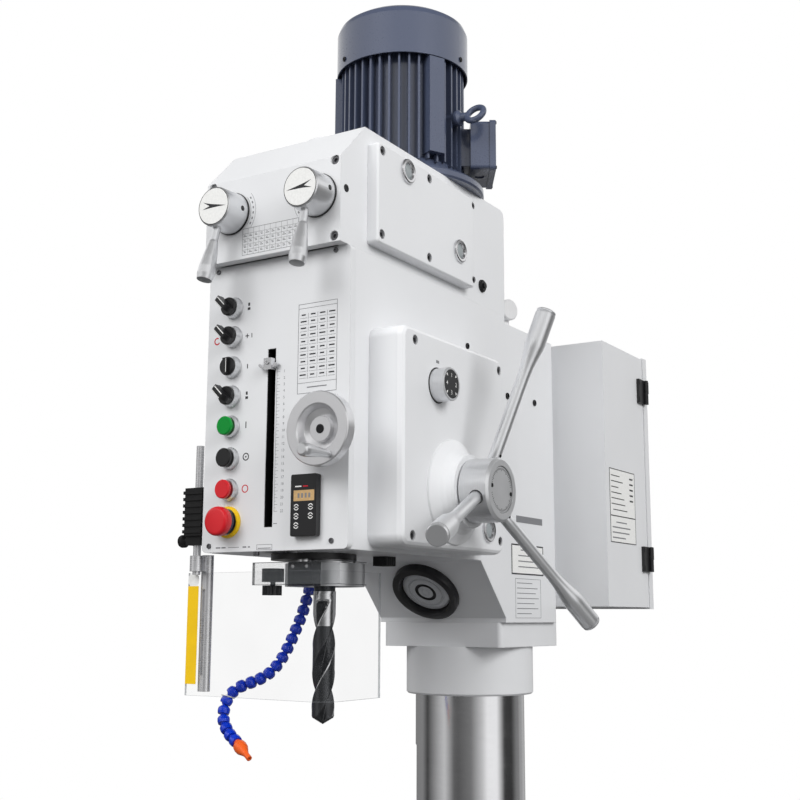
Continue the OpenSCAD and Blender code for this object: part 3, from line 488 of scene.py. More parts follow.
CLEAR = Clear("clear_guard_sheet", (66, 70, 76), 0.08, alpha=0.035, rim=0.22)
CLEAR_EDGE = Clear("clear_guard_edge", (196, 200, 204), 0.12, alpha=0.5, rim=0.3)
BRACKET_EDGE = Clear("clear_bracket_edge", (60, 64, 70), 0.12, alpha=0.55, rim=0.2)
BRACKET_FILM = Clear("clear_bracket_film", (168, 172, 176), 0.1, alpha=0.13, rim=0.2)
GLASS = Clear("sight_glass", (205, 214, 216), 0.05, alpha=0.45, rim=0.5)
DARK_INK = Ink("dark_ink", (42, 42, 45), 0.5)
GREY_INK = Ink("grey_ink", (128, 129, 132), 0.5)
RED_INK = Ink("red_ink", (200, 30, 48), 0.5)
LABEL = Ink("label_stock", (242, 242, 240), 0.45)
SCREEN = Ink("tan_screen", (203, 168, 118), 0.25)


# Mesh toolkit


def turned(degrees: float, axis: str = "Z") -> Matrix:
    """Returns a turn about an axis."""
    return Matrix.Rotation(math.radians(degrees), 4, axis)


def moved(x: float, y: float, z: float) -> Matrix:
    """Returns a shift."""
    return Matrix.Translation((x, y, z))


class Facing(Enum):
    """Where a piece drawn in x and y looks, its z standing out of the surface."""

    FRONT = ((1, 0, 0), (0, 0, 1), (0, -1, 0))
    RIGHT = ((0, 1, 0), (0, 0, 1), (1, 0, 0))
    UP = ((1, 0, 0), (0, 1, 0), (0, 0, 1))
    DOWN = ((1, 0, 0), (0, -1, 0), (0, 0, -1))

    def at(self, x: float, y: float, z: float, turn: float = 0.0) -> Matrix:
        """Places a piece at a point.

        Args:
            x: place of its origin.
            y: place of its origin.
            z: place of its origin.
            turn: degrees about its own z.

        Returns:
            The placing.
        """
        placed = Matrix(self.value).transposed().to_4x4()
        placed.translation = (x, y, z)
        return placed @ turned(turn)


class Shape:
    """Mesh of one piece, drawn in millimetres a form at a time, each form with its finish."""

    def __init__(self, finish: Finish, place: Matrix | None = None) -> None:
        """Starts an empty mesh.

        Args:
            finish: what the first forms wear.
            place: where they stand, as the frame has it.
        """
        self.mesh = bmesh.new()
        self.place = place or Matrix.Identity(4)
        self.finishes = [finish]
        self.index = 0

    def to(self, place: Matrix) -> "Shape":
        """Puts the next forms at another place."""
        self.place = place
        return self

    def wear(self, finish: Finish) -> "Shape":
        """Gives the next forms another finish.

        Args:
            finish: the finish.

        Returns:
            The shape itself, as every method that draws does.
        """
        if finish not in self.finishes:
            self.finishes.append(finish)
        self.index = self.finishes.index(finish)
        return self

    def add(self, points: Iterable[Sequence[float]], faces: Iterable[Sequence[int]]) -> "Shape":
        """Adds faces.

        Args:
            points: the corners.
            faces: the places of each face's corners in points.

        Returns:
            The shape itself.
        """
        corners = [self.mesh.verts.new(self.place @ Vector(p)) for p in points]
        for face in faces:
            made = self.mesh.faces.new([corners[i] for i in face])
            made.material_index = self.index
            made.smooth = True
        return self

    def lathe(self, profile: Sequence[Pair], steps: int = 48, loop: bool = False) -> "Shape":
        """Turns a profile about z.

        Args:
            profile: radius and height of each point; a radius of 0 makes a pole.
            steps: sides of the round form.
            loop: whether the profile closes on itself, as a ring's does.

        Returns:
            The shape itself.
        """
        points: list[Triple] = []
        rings: list[list[int]] = []
        for radius, height in profile:
            count = 1 if radius == 0 else steps
            first = len(points)
            for i in range(count):
                a = math.tau * i / steps
                points.append((radius * math.cos(a), radius * math.sin(a), height))
            rings.append([first + i % count for i in range(steps)])
        faces = []
        for low, high in zip(rings, rings[1:] + (rings[:1] if loop else [])):
            for i in range(steps):
                j = (i + 1) % steps
                face = list(dict.fromkeys((low[i], low[j], high[j], high[i])))
                if len(face) > 2:
                    faces.append(face)
        return self.add(points, faces)

    def prism(self, outline: Sequence[Pair], low: float, high: float) -> "Shape":
        """Raises a closed outline.

        Args:
            outline: its corners in order.
            low: height of its foot.
            high: height of its top.

        Returns:
            The shape itself.
        """
        n = len(outline)
        points = [(*p, low) for p in outline] + [(*p, high) for p in outline]
        sides = [(i, (i + 1) % n, n + (i + 1) % n, n + i) for i in range(n)]
        return self.add(points, [tuple(reversed(range(n))), tuple(range(n, 2 * n)), *sides])

    def slab(self, x: float, y: float, w: float, h: float, low: float = 0.0, high: float = PRINT,
             radius: float = 0.0) -> "Shape":
        """Raises a rectangle; by default it is a bar of fine print.

        Args:
            x: its middle.
            y: its middle.
            w: its width.
            h: its height.
            low: height of its foot.
            high: height of its top.
            radius: rounding of its corners.

        Returns:
            The shape itself.
        """
        if radius == 0:
            corners = [(-1, -1), (1, -1), (1, 1), (-1, 1)]
            return self.prism([(x + i * w / 2, y + j * h / 2) for i, j in corners], low, high)
        outline = []
        for i, j, first in ((1, 1, 0), (-1, 1, 90), (-1, -1, 180), (1, -1, 270)):
            for step in range(5):
                a = math.radians(first + step * 22.5)
                outline.append((x + i * (w / 2 - radius) + radius * math.cos(a),
                                y + j * (h / 2 - radius) + radius * math.sin(a)))
        return self.prism(outline, low, high)

    def frame(self, x: float, y: float, w: float, h: float, line: float, high: float = PRINT) -> "Shape":
        """Draws a rectangle's outline.

        Args:
            x: its middle.
            y: its middle.
            w: its width.
            h: its height.
            line: width of the line.
            high: how far the line stands out.

        Returns:
            The shape itself.
        """
        for side in (-1, 1):
            self.slab(x, y + side * (h - line) / 2, w, line, 0, high)
            self.slab(x + side * (w - line) / 2, y, line, h - 2 * line, 0, high)
        return self

    def arc(self, radius: float, width: float, first: float, last: float, high: float = PRINT,
            steps: int = 16) -> "Shape":
        """Raises an arc band about the origin.

        Args:
            radius: radius of its middle line.
            width: its width.
            first: angle of its start in degrees.
            last: angle of its end in degrees.
            high: how far it stands out.
            steps: straight pieces along it.

        Returns:
            The shape itself.
        """
        angles = [math.radians(first + (last - first) * i / steps) for i in range(steps + 1)]
        outer = [((radius + width / 2) * math.cos(a), (radius + width / 2) * math.sin(a)) for a in angles]
        inner = [((radius - width / 2) * math.cos(a), (radius - width / 2) * math.sin(a)) for a in angles]
        return self.prism(outer + inner[::-1], 0, high)

    def number(self, text: str, x: float, y: float, size: float, high: float) -> "Shape":
        """Prints a plain number with its middle at (x, y).

        Args:
            text: the digits.
            x: middle of the number.
            y: middle of the number.
            size: height of the type.
            high: how far the ink stands out.

        Returns:
            The shape itself.
        """
        font = bpy.data.curves.new("digits", "FONT")
        font.body = text
        font.size = size
        font.align_x = "CENTER"
        font.align_y = "CENTER"
        font.resolution_u = 2
        writer = bpy.data.objects.new("digits", font)
        flat = bpy.data.meshes.new_from_object(writer)
        shift = Vector((x, y, high))
        self.add([v.co + shift for v in flat.vertices], [tuple(p.vertices) for p in flat.polygons])
        bpy.data.objects.remove(writer)
        bpy.data.curves.remove(font)
        bpy.data.meshes.remove(flat)
        return self

    def socket_head(self, radius: float, high: float) -> "Shape":
        """Adds a round screw head with a socket, standing on z = 0."""
        return self.lathe([(0, high * 0.45), (radius * 0.5, high * 0.45), (radius * 0.5, high),
                           (radius * 0.86, high), (radius, high * 0.8), (radius, 0), (0, 0)], 20)

    def piece(self, name: str, body: str, slot: str, replaces: Sequence[str] = (),
              angle: float = 32.0, rim: float = 0.0) -> bpy.types.Object:
        """Turns the mesh into a piece that rides on a body.

        Args:
            name: the piece's name.
            body: the body it moves with.
            slot: not used.
            replaces: solids that it stands for.
            angle: edges sharper than this stay sharp.
            rim: radius of the edges' rounding in millimetres.

        Returns:
            The Blender object.
        """
        bmesh.ops.recalc_face_normals(self.mesh, faces=self.mesh.faces)
        data = bpy.data.meshes.new(name)
        self.mesh.transform(Matrix.Scale(MM, 4))
        self.mesh.to_mesh(data)
        self.mesh.free()
        data.set_sharp_from_angle(angle=math.radians(angle))
        for finish in self.finishes:
            data.materials.append(finish.material())
        made = bpy.data.objects.new(name, data)
        bpy.context.scene.collection.objects.link(made)
        if rim:
            bevel = made.modifiers.new("rim", "BEVEL")
            bevel.width = rim * MM
            bevel.segments = 3
            bevel.limit_method = "ANGLE"
            bevel.angle_limit = math.radians(40)
            bevel.harden_normals = True
        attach(made, body)
        if replaces:
            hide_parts(*replaces)
        LOG.info("piece %s rides on %s", name, body)
        return made


def dress(finishes: dict[str, Finish]) -> None:
    """Gives solids of the frame their finish.

    Args:
        finishes: the finish of each node, by its name.
    """
    for node, finish in finishes.items():
        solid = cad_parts[node]
        for slot in solid.material_slots:
            slot.material = finish.material()
        LOG.info("solid %s wears %s", node, finish.name)


def ticks(count: int) -> Iterable[tuple[int, float]]:
    """Yields each place round a circle: its number and its angle in degrees."""
    return ((i, 360.0 * i / count) for i in range(count))


# Sub-assemblies


@dataclass
class Castings:
    """Column, head, gearbox and their small hardware."""

    side_x: float = 130.0
    plate: Triple = (0.0, -497.0, 66.6)
    plate_z: float = 1423.7
    side_screws: Sequence[Triple] = ((-240, 1787.6, 5.2), (-90.5, 1723.9, 6.0), (21.8, 1728.1, 6.0))
    gearbox_screw: Triple = (129.0, -608.6, 1956.7)
    sights: Sequence[Triple] = ((149, -467.6, 2024.5), (149, -299.5, 1938), (190, -282, 1468))
    plug: Triple = (129.0, -183.4, 1907.6)
    plug_screw: Triple = (129.0, -212.0, 1913.0)
    block: Triple = (54.0, -380.0, 1418.0)
    type_label: Box = (-15.5, 1432.0, 130.0, 54.0)
    type_lines: Sequence[Pair] = ((-44, 36), (-54, 42), (-54, 16), (-54, 36))
    foot_label: Box = (-14.5, 1363.0, 104.0, 70.0)
    foot_lines: Sequence[float] = (62, 84, 76, 88, 70, 86, 58)
    # Flat grey bar of painted shade standing for a recessed strip: middle, width and height
    recess_shade_bar: Box = (-6.0, 1504.4, 108.0, 12.0)

    def build(self) -> None:
        """Dresses the castings and adds their hardware."""
        dress({
            "base": CAST_WHITE, "column_foot": CAST_WHITE, "foot_bolts": BLACK_STEEL, "column": COLUMN_STEEL,
            "column_rack": BARE_STEEL, "column_clamp": CAST_WHITE,
            "head_casting": Split("head_finish", (0, 0, 0), below=BLACK, above=CAST_WHITE, level=self.plate_z,
                                  ring=self.plate),
            "gearbox_housing": CAST_WHITE, "gearbox_cover": CAST_WHITE, "cap_screws": SCREW_STEEL,
            "filler_cap": CAP_ALLOY, "feed_box": CAST_WHITE, "gear_cluster": BARE_STEEL,
            "drive_sleeve": BARE_STEEL, "feed_pinion": BARE_STEEL})
        self.screws()
        self.oil_sights()
        self.drain_plug()
        self.spring_stop()
        self.labels()

    def screws(self) -> None:
        """Adds the small screws in the sides of head and gearbox."""
        shape = Shape(BLACK_STEEL)
        for y, z, radius in self.side_screws:
            shape.to(Facing.RIGHT.at(self.side_x, y, z)).socket_head(radius, 2.6)
        shape.to(Facing.RIGHT.at(*self.gearbox_screw)).socket_head(6.0, 0.8)
        shape.piece("head_side_screws", "machine", "dark_steel")

    def oil_sights(self) -> None:
        """Builds the oil sights: a bright ring, the glass and the level ring behind it."""
        shape = Shape(BRIGHT_STEEL)
        for x, y, z in self.sights:
            shape.to(Facing.RIGHT.at(x, y, z)).wear(BRIGHT_STEEL)
            shape.lathe([(12.2, -14), (12.2, 1.2), (14, 4.2), (17.6, 5), (19.4, 4), (20, 2.2), (20, 0.1),
                         (17, 0.1), (17, -14)], loop=True)
            shape.wear(GREY).lathe([(0, -9), (12.1, -9)], 40)
            shape.wear(LABEL).lathe([(3.4, -8.8), (5.2, -8.8), (5.2, -8.2), (3.4, -8.2)], 24, loop=True)
            shape.wear(GLASS).lathe([(0, 1.6), (5, 1.4), (9, 0.9), (12.1, 0)], 32)
        shape.piece("oil_sights", "machine", "polished_steel", ["sight_glasses"])

    def drain_plug(self) -> None:
        """Adds the domed plug low on the gearbox cover."""
        shape = Shape(BLACK_STEEL, Facing.RIGHT.at(*self.plug))
        shape.lathe([(0, 8), (5, 8), (5, 5), (9, 5), (11, 3.2), (11.5, 0), (0, 0)], 32)
        shape.to(Facing.RIGHT.at(*self.plug_screw)).socket_head(5.0, 0.8)
        shape.piece("drain_plug", "machine", "dark_steel")

    def spring_stop(self) -> None:
        """Adds the ribbed black block beside the quill's plate."""
        shape = Shape(RUBBER, Facing.UP.at(*self.block))
        for y in range(-12, 13, 6):
            shape.slab(0, y, 26, 4.4, -9, 5.9, 1.0)
        shape.slab(0, 0, 22, 30, -7, 5.9)
        shape.piece("ribbed_block", "machine", "black_plastic")

    def labels(self) -> None:
        """Adds the plain labels low on the head's right side and, above them, a flat grey bar of painted shade
        for a recessed strip.
        """
        shape = Shape(LABEL, Facing.RIGHT.at(self.side_x, 0, 0))
        shape.slab(*self.type_label, high=STOCK, radius=2.0)
        shape.wear(DARK_INK).frame(*self.type_label, line=2.4, high=0.5)
        shape.wear(GREY_INK)
        for row, (first, last) in enumerate(self.type_lines):
            shape.slab((first + last) / 2, 1449 - row * 10, last - first, 2.0, STOCK, STOCK_PRINT)
        shape.frame(*self.foot_label, line=0.7, high=STOCK)
        for row, reach in enumerate(self.foot_lines):
            shape.slab(-60 + reach / 2, 1390 - row * 9, reach, 1.3, high=0.25)
        # Painted shade: a flat grey bar stands in for the shade in a recessed strip.
        shape.slab(*self.recess_shade_bar, high=STOCK)
        shape.piece("side_labels", "machine", "cast_white")


@dataclass
class WorkLamp:
    """Round fitting in the slanted underside, taken as a work lamp."""

    centre: Triple = (-4.0, -150.0, 1376.0)
    lean: float = 180.0 - math.degrees(math.atan2(92.0, 96.0))

    def build(self) -> None:
        """Builds the black collar and the ringed grey lens."""
        place = moved(*self.centre) @ turned(self.lean, "X")
        shape = Shape(BLACK, place)
        shape.lathe([(46, -9), (46, 5), (47.5, 11), (49.5, 12.8), (57, 13), (60.5, 12), (61.7, 9), (61.7, -9)],
                    96, loop=True)
        shape.wear(LENS).lathe([(46, -5), (44.5, 2.5), (41, 4.4), (33, 4.6), (32.2, 3.2), (31, 3.2),
                                (30.2, 4.8), (20, 5)], 96)
        shape.wear(BLACK).lathe([(20, 5), (19, 2.6), (15, 2.6), (14, 4.8)], 72)
        shape.wear(LENS).lathe([(14, 4.8), (8, 5.4), (7.2, 4.4), (6, 4.4), (5.2, 5.6), (0, 5.8)], 48)
        shape.piece("lamp_fitting", "machine", "black_plastic", ["work_lamp"])


@dataclass
class FrontPanel:
    """White front panel with its slot, scale, chart and plain marks."""

    front_y: float = -602.5
    scale_x: float = 2.5
    scale_low: float = 1482.0
    scale_high: float = 1702.0
    tick: float = 5.0
    chart: Box = (76.5, 1722.5, 71.0, 137.0)
    chart_row: float = 10.2
    switch_marks: Sequence[Box] = (
        (-55, 1805, 3.4, 5), (-55, 1798, 5, 4), (-55, 1665, 3.4, 5), (-55, 1658, 5, 4), (-57, 1755, 7, 1.4),
        (-57, 1755, 1.4, 7), (-48, 1755, 1.4, 7), (-55, 1707, 1.6, 7), (-55, 1616, 1.8, 10))
    foot_marks: Sequence[Pair] = ((-107, 9), (-96, 8), (-83, 21), (-55, 7), (-45, 4))
    foot_z: float = 1431.0
    slot: Pair = (-8.0, 1594.0)
    corners: Sequence[Pair] = ((-120.5, 1434.0), (107.0, 1436.0), (-118.0, 1865.0), (108.0, 1866.0))

    def build(self) -> None:
        """Dresses the panel and prints its marks."""
        dress({"front_panel": SHEET_WHITE})
        self.scale()
        self.speed_chart()
        self.marks()
        self.screws()
        self.slot_shade()

    def _flat(self, finish: Finish) -> Shape:
        """Returns a shape drawn on the panel's face, x to the right and y as the height."""
        return Shape(finish, Facing.FRONT.at(0, self.front_y, 0))

    def scale(self) -> None:
        """Prints the depth scale; every second tick is long and has a plain number."""
        shape = self._flat(GREY_INK)
        for i in range(round((self.scale_high - self.scale_low) / self.tick) + 1):
            z = self.scale_high - i * self.tick
            reach = 3 if i % 2 else 6
            shape.slab(self.scale_x + reach / 2, z, reach, 0.5)
            if i and i % 2 == 0:
                shape.number(str(i // 2), self.scale_x + 14, z, 6.0, PRINT)
        shape.slab(self.scale_x, (self.scale_low + self.scale_high) / 2, 0.5, self.scale_high - self.scale_low)
        shape.piece("depth_scale", "machine", "cast_white")

    def speed_chart(self) -> None:
        """Prints the outlined chart: four columns of plain bars over a foot line."""
        x, z, w, h = self.chart
        top, foot = z + h / 2, z - h / 2
        shape = self._flat(GREY_INK)
        shape.frame(x, z, w, h, 0.7, BOLD)
        for mark_z, reach, line in ((top - 7, w, 0.6), (foot + 16, w, 0.6), (foot + 9, w / 2, 1.6)):
            shape.slab(x, mark_z, reach, line, high=BOLD)
        shape.wear(DARK_INK)
        for column in range(4):
            middle = x - w / 2 + 9.5 + column * w * 0.245
            for row in range(10):
                row_z = top - row * self.chart_row
                shape.slab(middle, row_z - 17, 7.5 + 3.5 * ((row * 7 + column * 5) % 4) / 3, 2.0, high=BOLD)
                if column < 3:
                    shape.slab(middle + 8.6, row_z - 19, 0.35, 8.6)
                shape.slab(middle, row_z - 22, 13, 0.35)
        shape.piece("speed_chart", "machine", "cast_white")

    def marks(self) -> None:
        """Prints the small generic marks beside the switches and along the panel's foot."""
        shape = self._flat(DARK_INK)
        for mark in self.switch_marks:
            shape.slab(*mark)
        for z, finish, radius in ((1567, DARK_INK, 5.2), (1518.5, RED_INK, 5.4)):
            shape.wear(finish).to(Facing.FRONT.at(-53.5, self.front_y, z)).arc(radius, 1.6, 0, 360, steps=32)
        shape.wear(DARK_INK).slab(0, 48.5, 2.4, 2.4)
        shape.wear(RED_INK).to(Facing.FRONT.at(-117, self.front_y, 1753)).arc(5.0, 2.0, 60, 330, steps=24)
        shape.wear(GREY_INK).to(Facing.FRONT.at(0, self.front_y, self.foot_z))
        for left, width in self.foot_marks:
            shape.slab(left + width / 2, 0, width, 2.0 if width < 20 else 0.8)
        shape.frame(-14, -1, 29, 8, 0.6)
        shape.slab(-14, -2.6, 24, 1.2)
        shape.slab(5, 33, 7, 1.0)
        shape.piece("panel_marks", "machine", "cast_white")

    def screws(self) -> None:
        """Adds the panel's corner screws and the small screw under it."""
        shape = Shape(SCREW_STEEL)
        for x, z in self.corners:
            shape.to(Facing.FRONT.at(x, self.front_y, z)).socket_head(4.0, 2.2)
        shape.to(Facing.DOWN.at(-33, -597, 1424)).socket_head(4.5, 6)
        shape.piece("panel_screws", "machine", "dark_steel")

    def slot_shade(self) -> None:
        """Adds painted shade: black sheets lining the pointer's slot and the channel behind it, where there is
        only shade.
        """
        x, z = self.slot
        # Painted shade: these black sheets stand in for the shade inside the slot and the channel behind it.
        shape = Shape(RUBBER, Facing.FRONT.at(x, self.front_y, z))
        for side in (-1, 1):
            shape.slab(side * 7.4, 0, 0.6, 269.8, -12.3, -1.0)
            shape.slab(0, side * 134.6, 14.2, 0.6, -12.3, -1.0)
            shape.slab(2 + side * 29.6, 0, 0.6, 310, -79, -12.8)
        shape.slab(2, 0, 59, 310, -79.2, -79)
        shape.piece("slot_shade", "machine", "black_plastic")


@dataclass
class Switches:
    """Row of rotary selectors, push buttons and the emergency stop."""

    x: float = -84.0
    front_y: float = -602.5
    selector_z: Sequence[float] = (1802.0, 1756.0, 1708.0, 1662.0)
    selector_turn: Sequence[float] = (45.0, 45.0, 0.0, 45.0)
    flat_selector: int = 2
    stop_z: float = 1469.0
    stop_r: float = 22.3

    def build(self) -> None:
        """Dresses the switches and adds their inlays, ring and mushroom head."""
        dress({
            "switch_bezels": ALLOY, "green_button": GREEN, "black_button": BLACK, "red_button": RED,
            **{f"selector_{i + 1}": BLACK for i in range(4)}})
        self.inlays()
        self.stop_button()

    def inlays(self) -> None:
        """Adds the pale line along each selector's grip."""
        for i, (z, turn) in enumerate(zip(self.selector_z, self.selector_turn)):
            shape = Shape(LABEL, Facing.FRONT.at(self.x, self.front_y, z, turn))
            if i == self.flat_selector:
                shape.slab(3.2, 0, 0.9, 21, 21, 21 + PRINT)
            else:
                shape.slab(3.5, 4, 1.4, 19.5, 33, 33 + PRINT).slab(-3.8, 4, 0.8, 19.5, 33, 33 + PRINT)
            shape.piece(f"selector_inlay_{i + 1}", f"selector_{i + 1}", "cast_white")

    def stop_button(self) -> None:
        """Builds the emergency stop's yellow ring and red mushroom head."""
        place = Facing.FRONT.at(self.x, self.front_y, self.stop_z)
        ring = Shape(YELLOW, place)
        ring.lathe([(9.6, 0.2), (9.6, 3.1), (19.9, 3.1), (19.9, 6.2), (22.6, 5.4), (23.9, 3.4), (24, 0.2)],
                   64, loop=True)
        ring.piece("stop_ring", "machine", "cast_white")
        head = Shape(NAVY, place)
        r = self.stop_r
        head.lathe([(0, -20), (9, -20), (9, 8.6), (18.4, 8.6), (19.2, 10.5), (19.5, 17.6), (0, 17.6)])
        head.wear(RED).lathe([(0, 17.5), (r - 1.4, 17.5), (r - 0.4, 18.2), (r, 19.8), (r - 0.3, 27.5),
                              (r - 1.2, 29.8), (r - 3, 31.3), (r - 5.5, 31.9), (0, 32)], 64)
        head.piece("stop_head", "emergency_stop", "red_plastic", ["emergency_stop"])


@dataclass
class Readout:
    """Digital depth readout on the panel."""

    x: float = 64.3
    z: float = 1488.0
    front_y: float = -602.5
    width: float = 46.0
    height: float = 90.0
    depth: float = 12.0
    keys: Sequence[Pair] = ((-12, -3), (-12, -16), (-12, -29.5), (13.5, -3), (13.5, -16))

    def build(self) -> None:
        """Builds the case, its screen and its five keys."""
        shape = Shape(BLACK, Facing.FRONT.at(self.x, self.front_y, self.z))
        shape.slab(0, 0, self.width, self.height, 0, self.depth, 3.0)
        shape.piece("readout_case", "machine", "black_plastic", ["readout_box"], rim=1.2)
        face = Shape(SCREEN, Facing.FRONT.at(self.x, self.front_y, self.z))
        face.slab(1.5, 13.6, 37, 15.6, self.depth, self.depth + 0.25, 1.0)
        face.wear(DARK_INK).frame(1.5, 13.6, 38.6, 17.2, 0.8, self.depth + 0.35)
        face.wear(GREY_INK)
        for i in range(4):
            face.slab(-8 + i * 6.4, 13.6, 3.4, 7, self.depth, self.depth + 0.32)
        face.wear(LABEL).slab(-9, 27, 11, 1.8, self.depth, self.depth + STOCK)
        face.wear(RED_INK).slab(4, 27, 9, 1.8, self.depth, self.depth + STOCK)
        for x, z in self.keys:
            face.wear(LABEL).to(Facing.FRONT.at(self.x + x, self.front_y - self.depth, self.z + z))
            face.arc(4.0, 1.2, 20, 160, STOCK, 10).arc(4.0, 1.2, 200, 340, STOCK, 10)
            face.slab(0, 0, 4.4, 1.4, high=STOCK)
        face.piece("readout_face", "machine", "black_plastic")


@dataclass
class Handwheel:
    """Fine-feed handwheel with its turning grip."""

    centre: Triple = (109.0, -590.0, 1592.5)
    hub_depth: float = 47.5
    grip: Pair = (22.0, -39.0)

    def build(self) -> None:
        """Dresses the wheel and grip and adds the hub's screw and the grip's stud."""
        dress({"handwheel": WHEEL_ALLOY, "handwheel_grip": GRIP_ALLOY})
        x, y, z = self.centre
        hub = Shape(BLACK_STEEL, Facing.FRONT.at(x, y - self.hub_depth, z))
        hub.socket_head(6.8, 0.7)
        hub.piece("wheel_screw", "handwheel", "dark_steel")
        stud = Shape(BRIGHT_STEEL, Facing.FRONT.at(x + self.grip[0], y, z + self.grip[1]))
        stud.lathe([(5.2, 121), (5.2, 120.4), (3.6, 118.6), (0, 118.6)], 32)
        stud.piece("grip_stud", "handwheel_grip", "polished_steel")


@dataclass
class SpeedControls:
    """Two speed levers and the marks round them on the gearbox front."""

    places_x: Pair = (-76.0, 88.5)
    front_y: float = -623.0
    z: float = 1948.0
    disc_r: float = 28.6
    disc_high: float = 46.6
    turns: Pair = (-5.0, 0.0)
    arrow_turns: Pair = (-0.8, 185.5)
    screw_turns: Pair = (5.0, 4.0)
    screw_at: Triple = (32.1, 0.0, 15.0)
    grip_at: Triple = (0.0, -20.0, 30.2)
    grip_lean: float = 11.4
    grid: Box = (-1.0, 1899.0, 108.0, 43.0)
    cell: Pair = (10.8, 8.6)

    def build(self) -> None:
        """Dresses the levers and builds discs, arrows and charts."""
        dress({"speed_lever_left": GRIP_ALLOY, "speed_lever_right": GRIP_ALLOY})
        for x, name, turn, aim, screw in zip(self.places_x, ("left", "right"), self.turns, self.arrow_turns,
                                             self.screw_turns):
            self.disc(name, Facing.FRONT.at(x, self.front_y, self.z, turn), aim, screw)
        self.charts()

    def disc(self, name: str, place: Matrix, aim: float, screw: float) -> None:
        """Builds one lever's disc with its arrow, a black ring of painted shade at the boss's root, the grub
        screw in the boss and the grip's end.

        Args:
            name: left or right.
            place: the boss's placing.
            aim: which way the arrow points, in degrees.
            screw: where the grub screw is round the boss, in degrees.
        """
        r, high = self.disc_r, self.disc_high
        shape = Shape(LABEL, place)
        shape.lathe([(0, high), (r - 0.6, high), (r, 46.1), (0, 46.05)], 72)
        shape.wear(BLACK_STEEL).lathe([(r + 0.1, 46.05), (r + 0.1, 46.4), (r + 0.8, 46.3), (r + 0.8, 46.05)],
                                      72, loop=True)
        # Painted shade: a thin black ring at the boss's root stands in for the shadow in the crease against the
        # gearbox front.
        shape.wear(BLACK).lathe([(33.05, 0.6), (33.9, 0.6), (33.9, 3.2), (33.0, 3.2)], 72, loop=True)
        shape.wear(DARK_INK).to(place @ turned(aim))
        arrow = [(24.5, 0), (-5, 3.4), (-21, 6.6), (-7.5, 0.4), (-21, -5.2), (-5, -2.8)]
        shape.prism(arrow, high, high + PRINT)
        side = place @ turned(screw) @ moved(*self.screw_at) @ turned(90, "Y")
        shape.wear(BLACK).to(side).lathe([(0, 0.5), (3.4, 0.5), (4.2, 0.1), (4.2, -1), (0, -1)], 24)
        grip = place @ moved(*self.grip_at) @ turned(90 - self.grip_lean, "X")
        shape.wear(GREY).to(grip).lathe([(0, 99.2), (10.8, 99.2), (11.5, 98.9), (0, 98.9)], 40)
        shape.piece(f"lever_disc_{name}", f"speed_lever_{name}", "cast_white")

    def charts(self) -> None:
        """Prints the grid under the levers and the arc beside each boss."""
        shape = Shape(GREY_INK, Facing.FRONT.at(0, self.front_y, 0))
        mid_x, mid_z, w, h = self.grid
        left, low = mid_x - w / 2, mid_z - h / 2
        cell_w, cell_h = self.cell
        shape.frame(mid_x, mid_z, w, h, 0.6, BOLD)
        for i in range(1, 10):
            shape.slab(left + i * cell_w, mid_z, 0.4, h)
        for i in range(1, 5):
            shape.slab(mid_x, low + i * cell_h, w, 0.4)
        for i in range(10):
            for j in range(4):
                wide = 3.5 + (i * 3 + j * 5) % 4
                x, z = left + i * cell_w, low + j * cell_h
                shape.slab(x + 5.4, z + 4.3, wide, 1.1, high=BOLD)
                shape.slab(x + 4.6, z + 6.4, 6.2 - wide / 2, 0.8, high=BOLD)
        step = 12
        for x, first, last in ((self.places_x[0], -36, 38), (self.places_x[1], 190, 214)):
            shape.to(Facing.FRONT.at(x, self.front_y, self.z))
            shape.arc(36.4, 0.5, first, last).arc(45.6, 0.5, first, last)
            for k in range(round((last - first) / step)):
                shape.arc(41, 2.2, first + 4 + k * step, first + 9 + k * step, BOLD, 3)
        shape.piece("lever_charts", "machine", "cast_white")


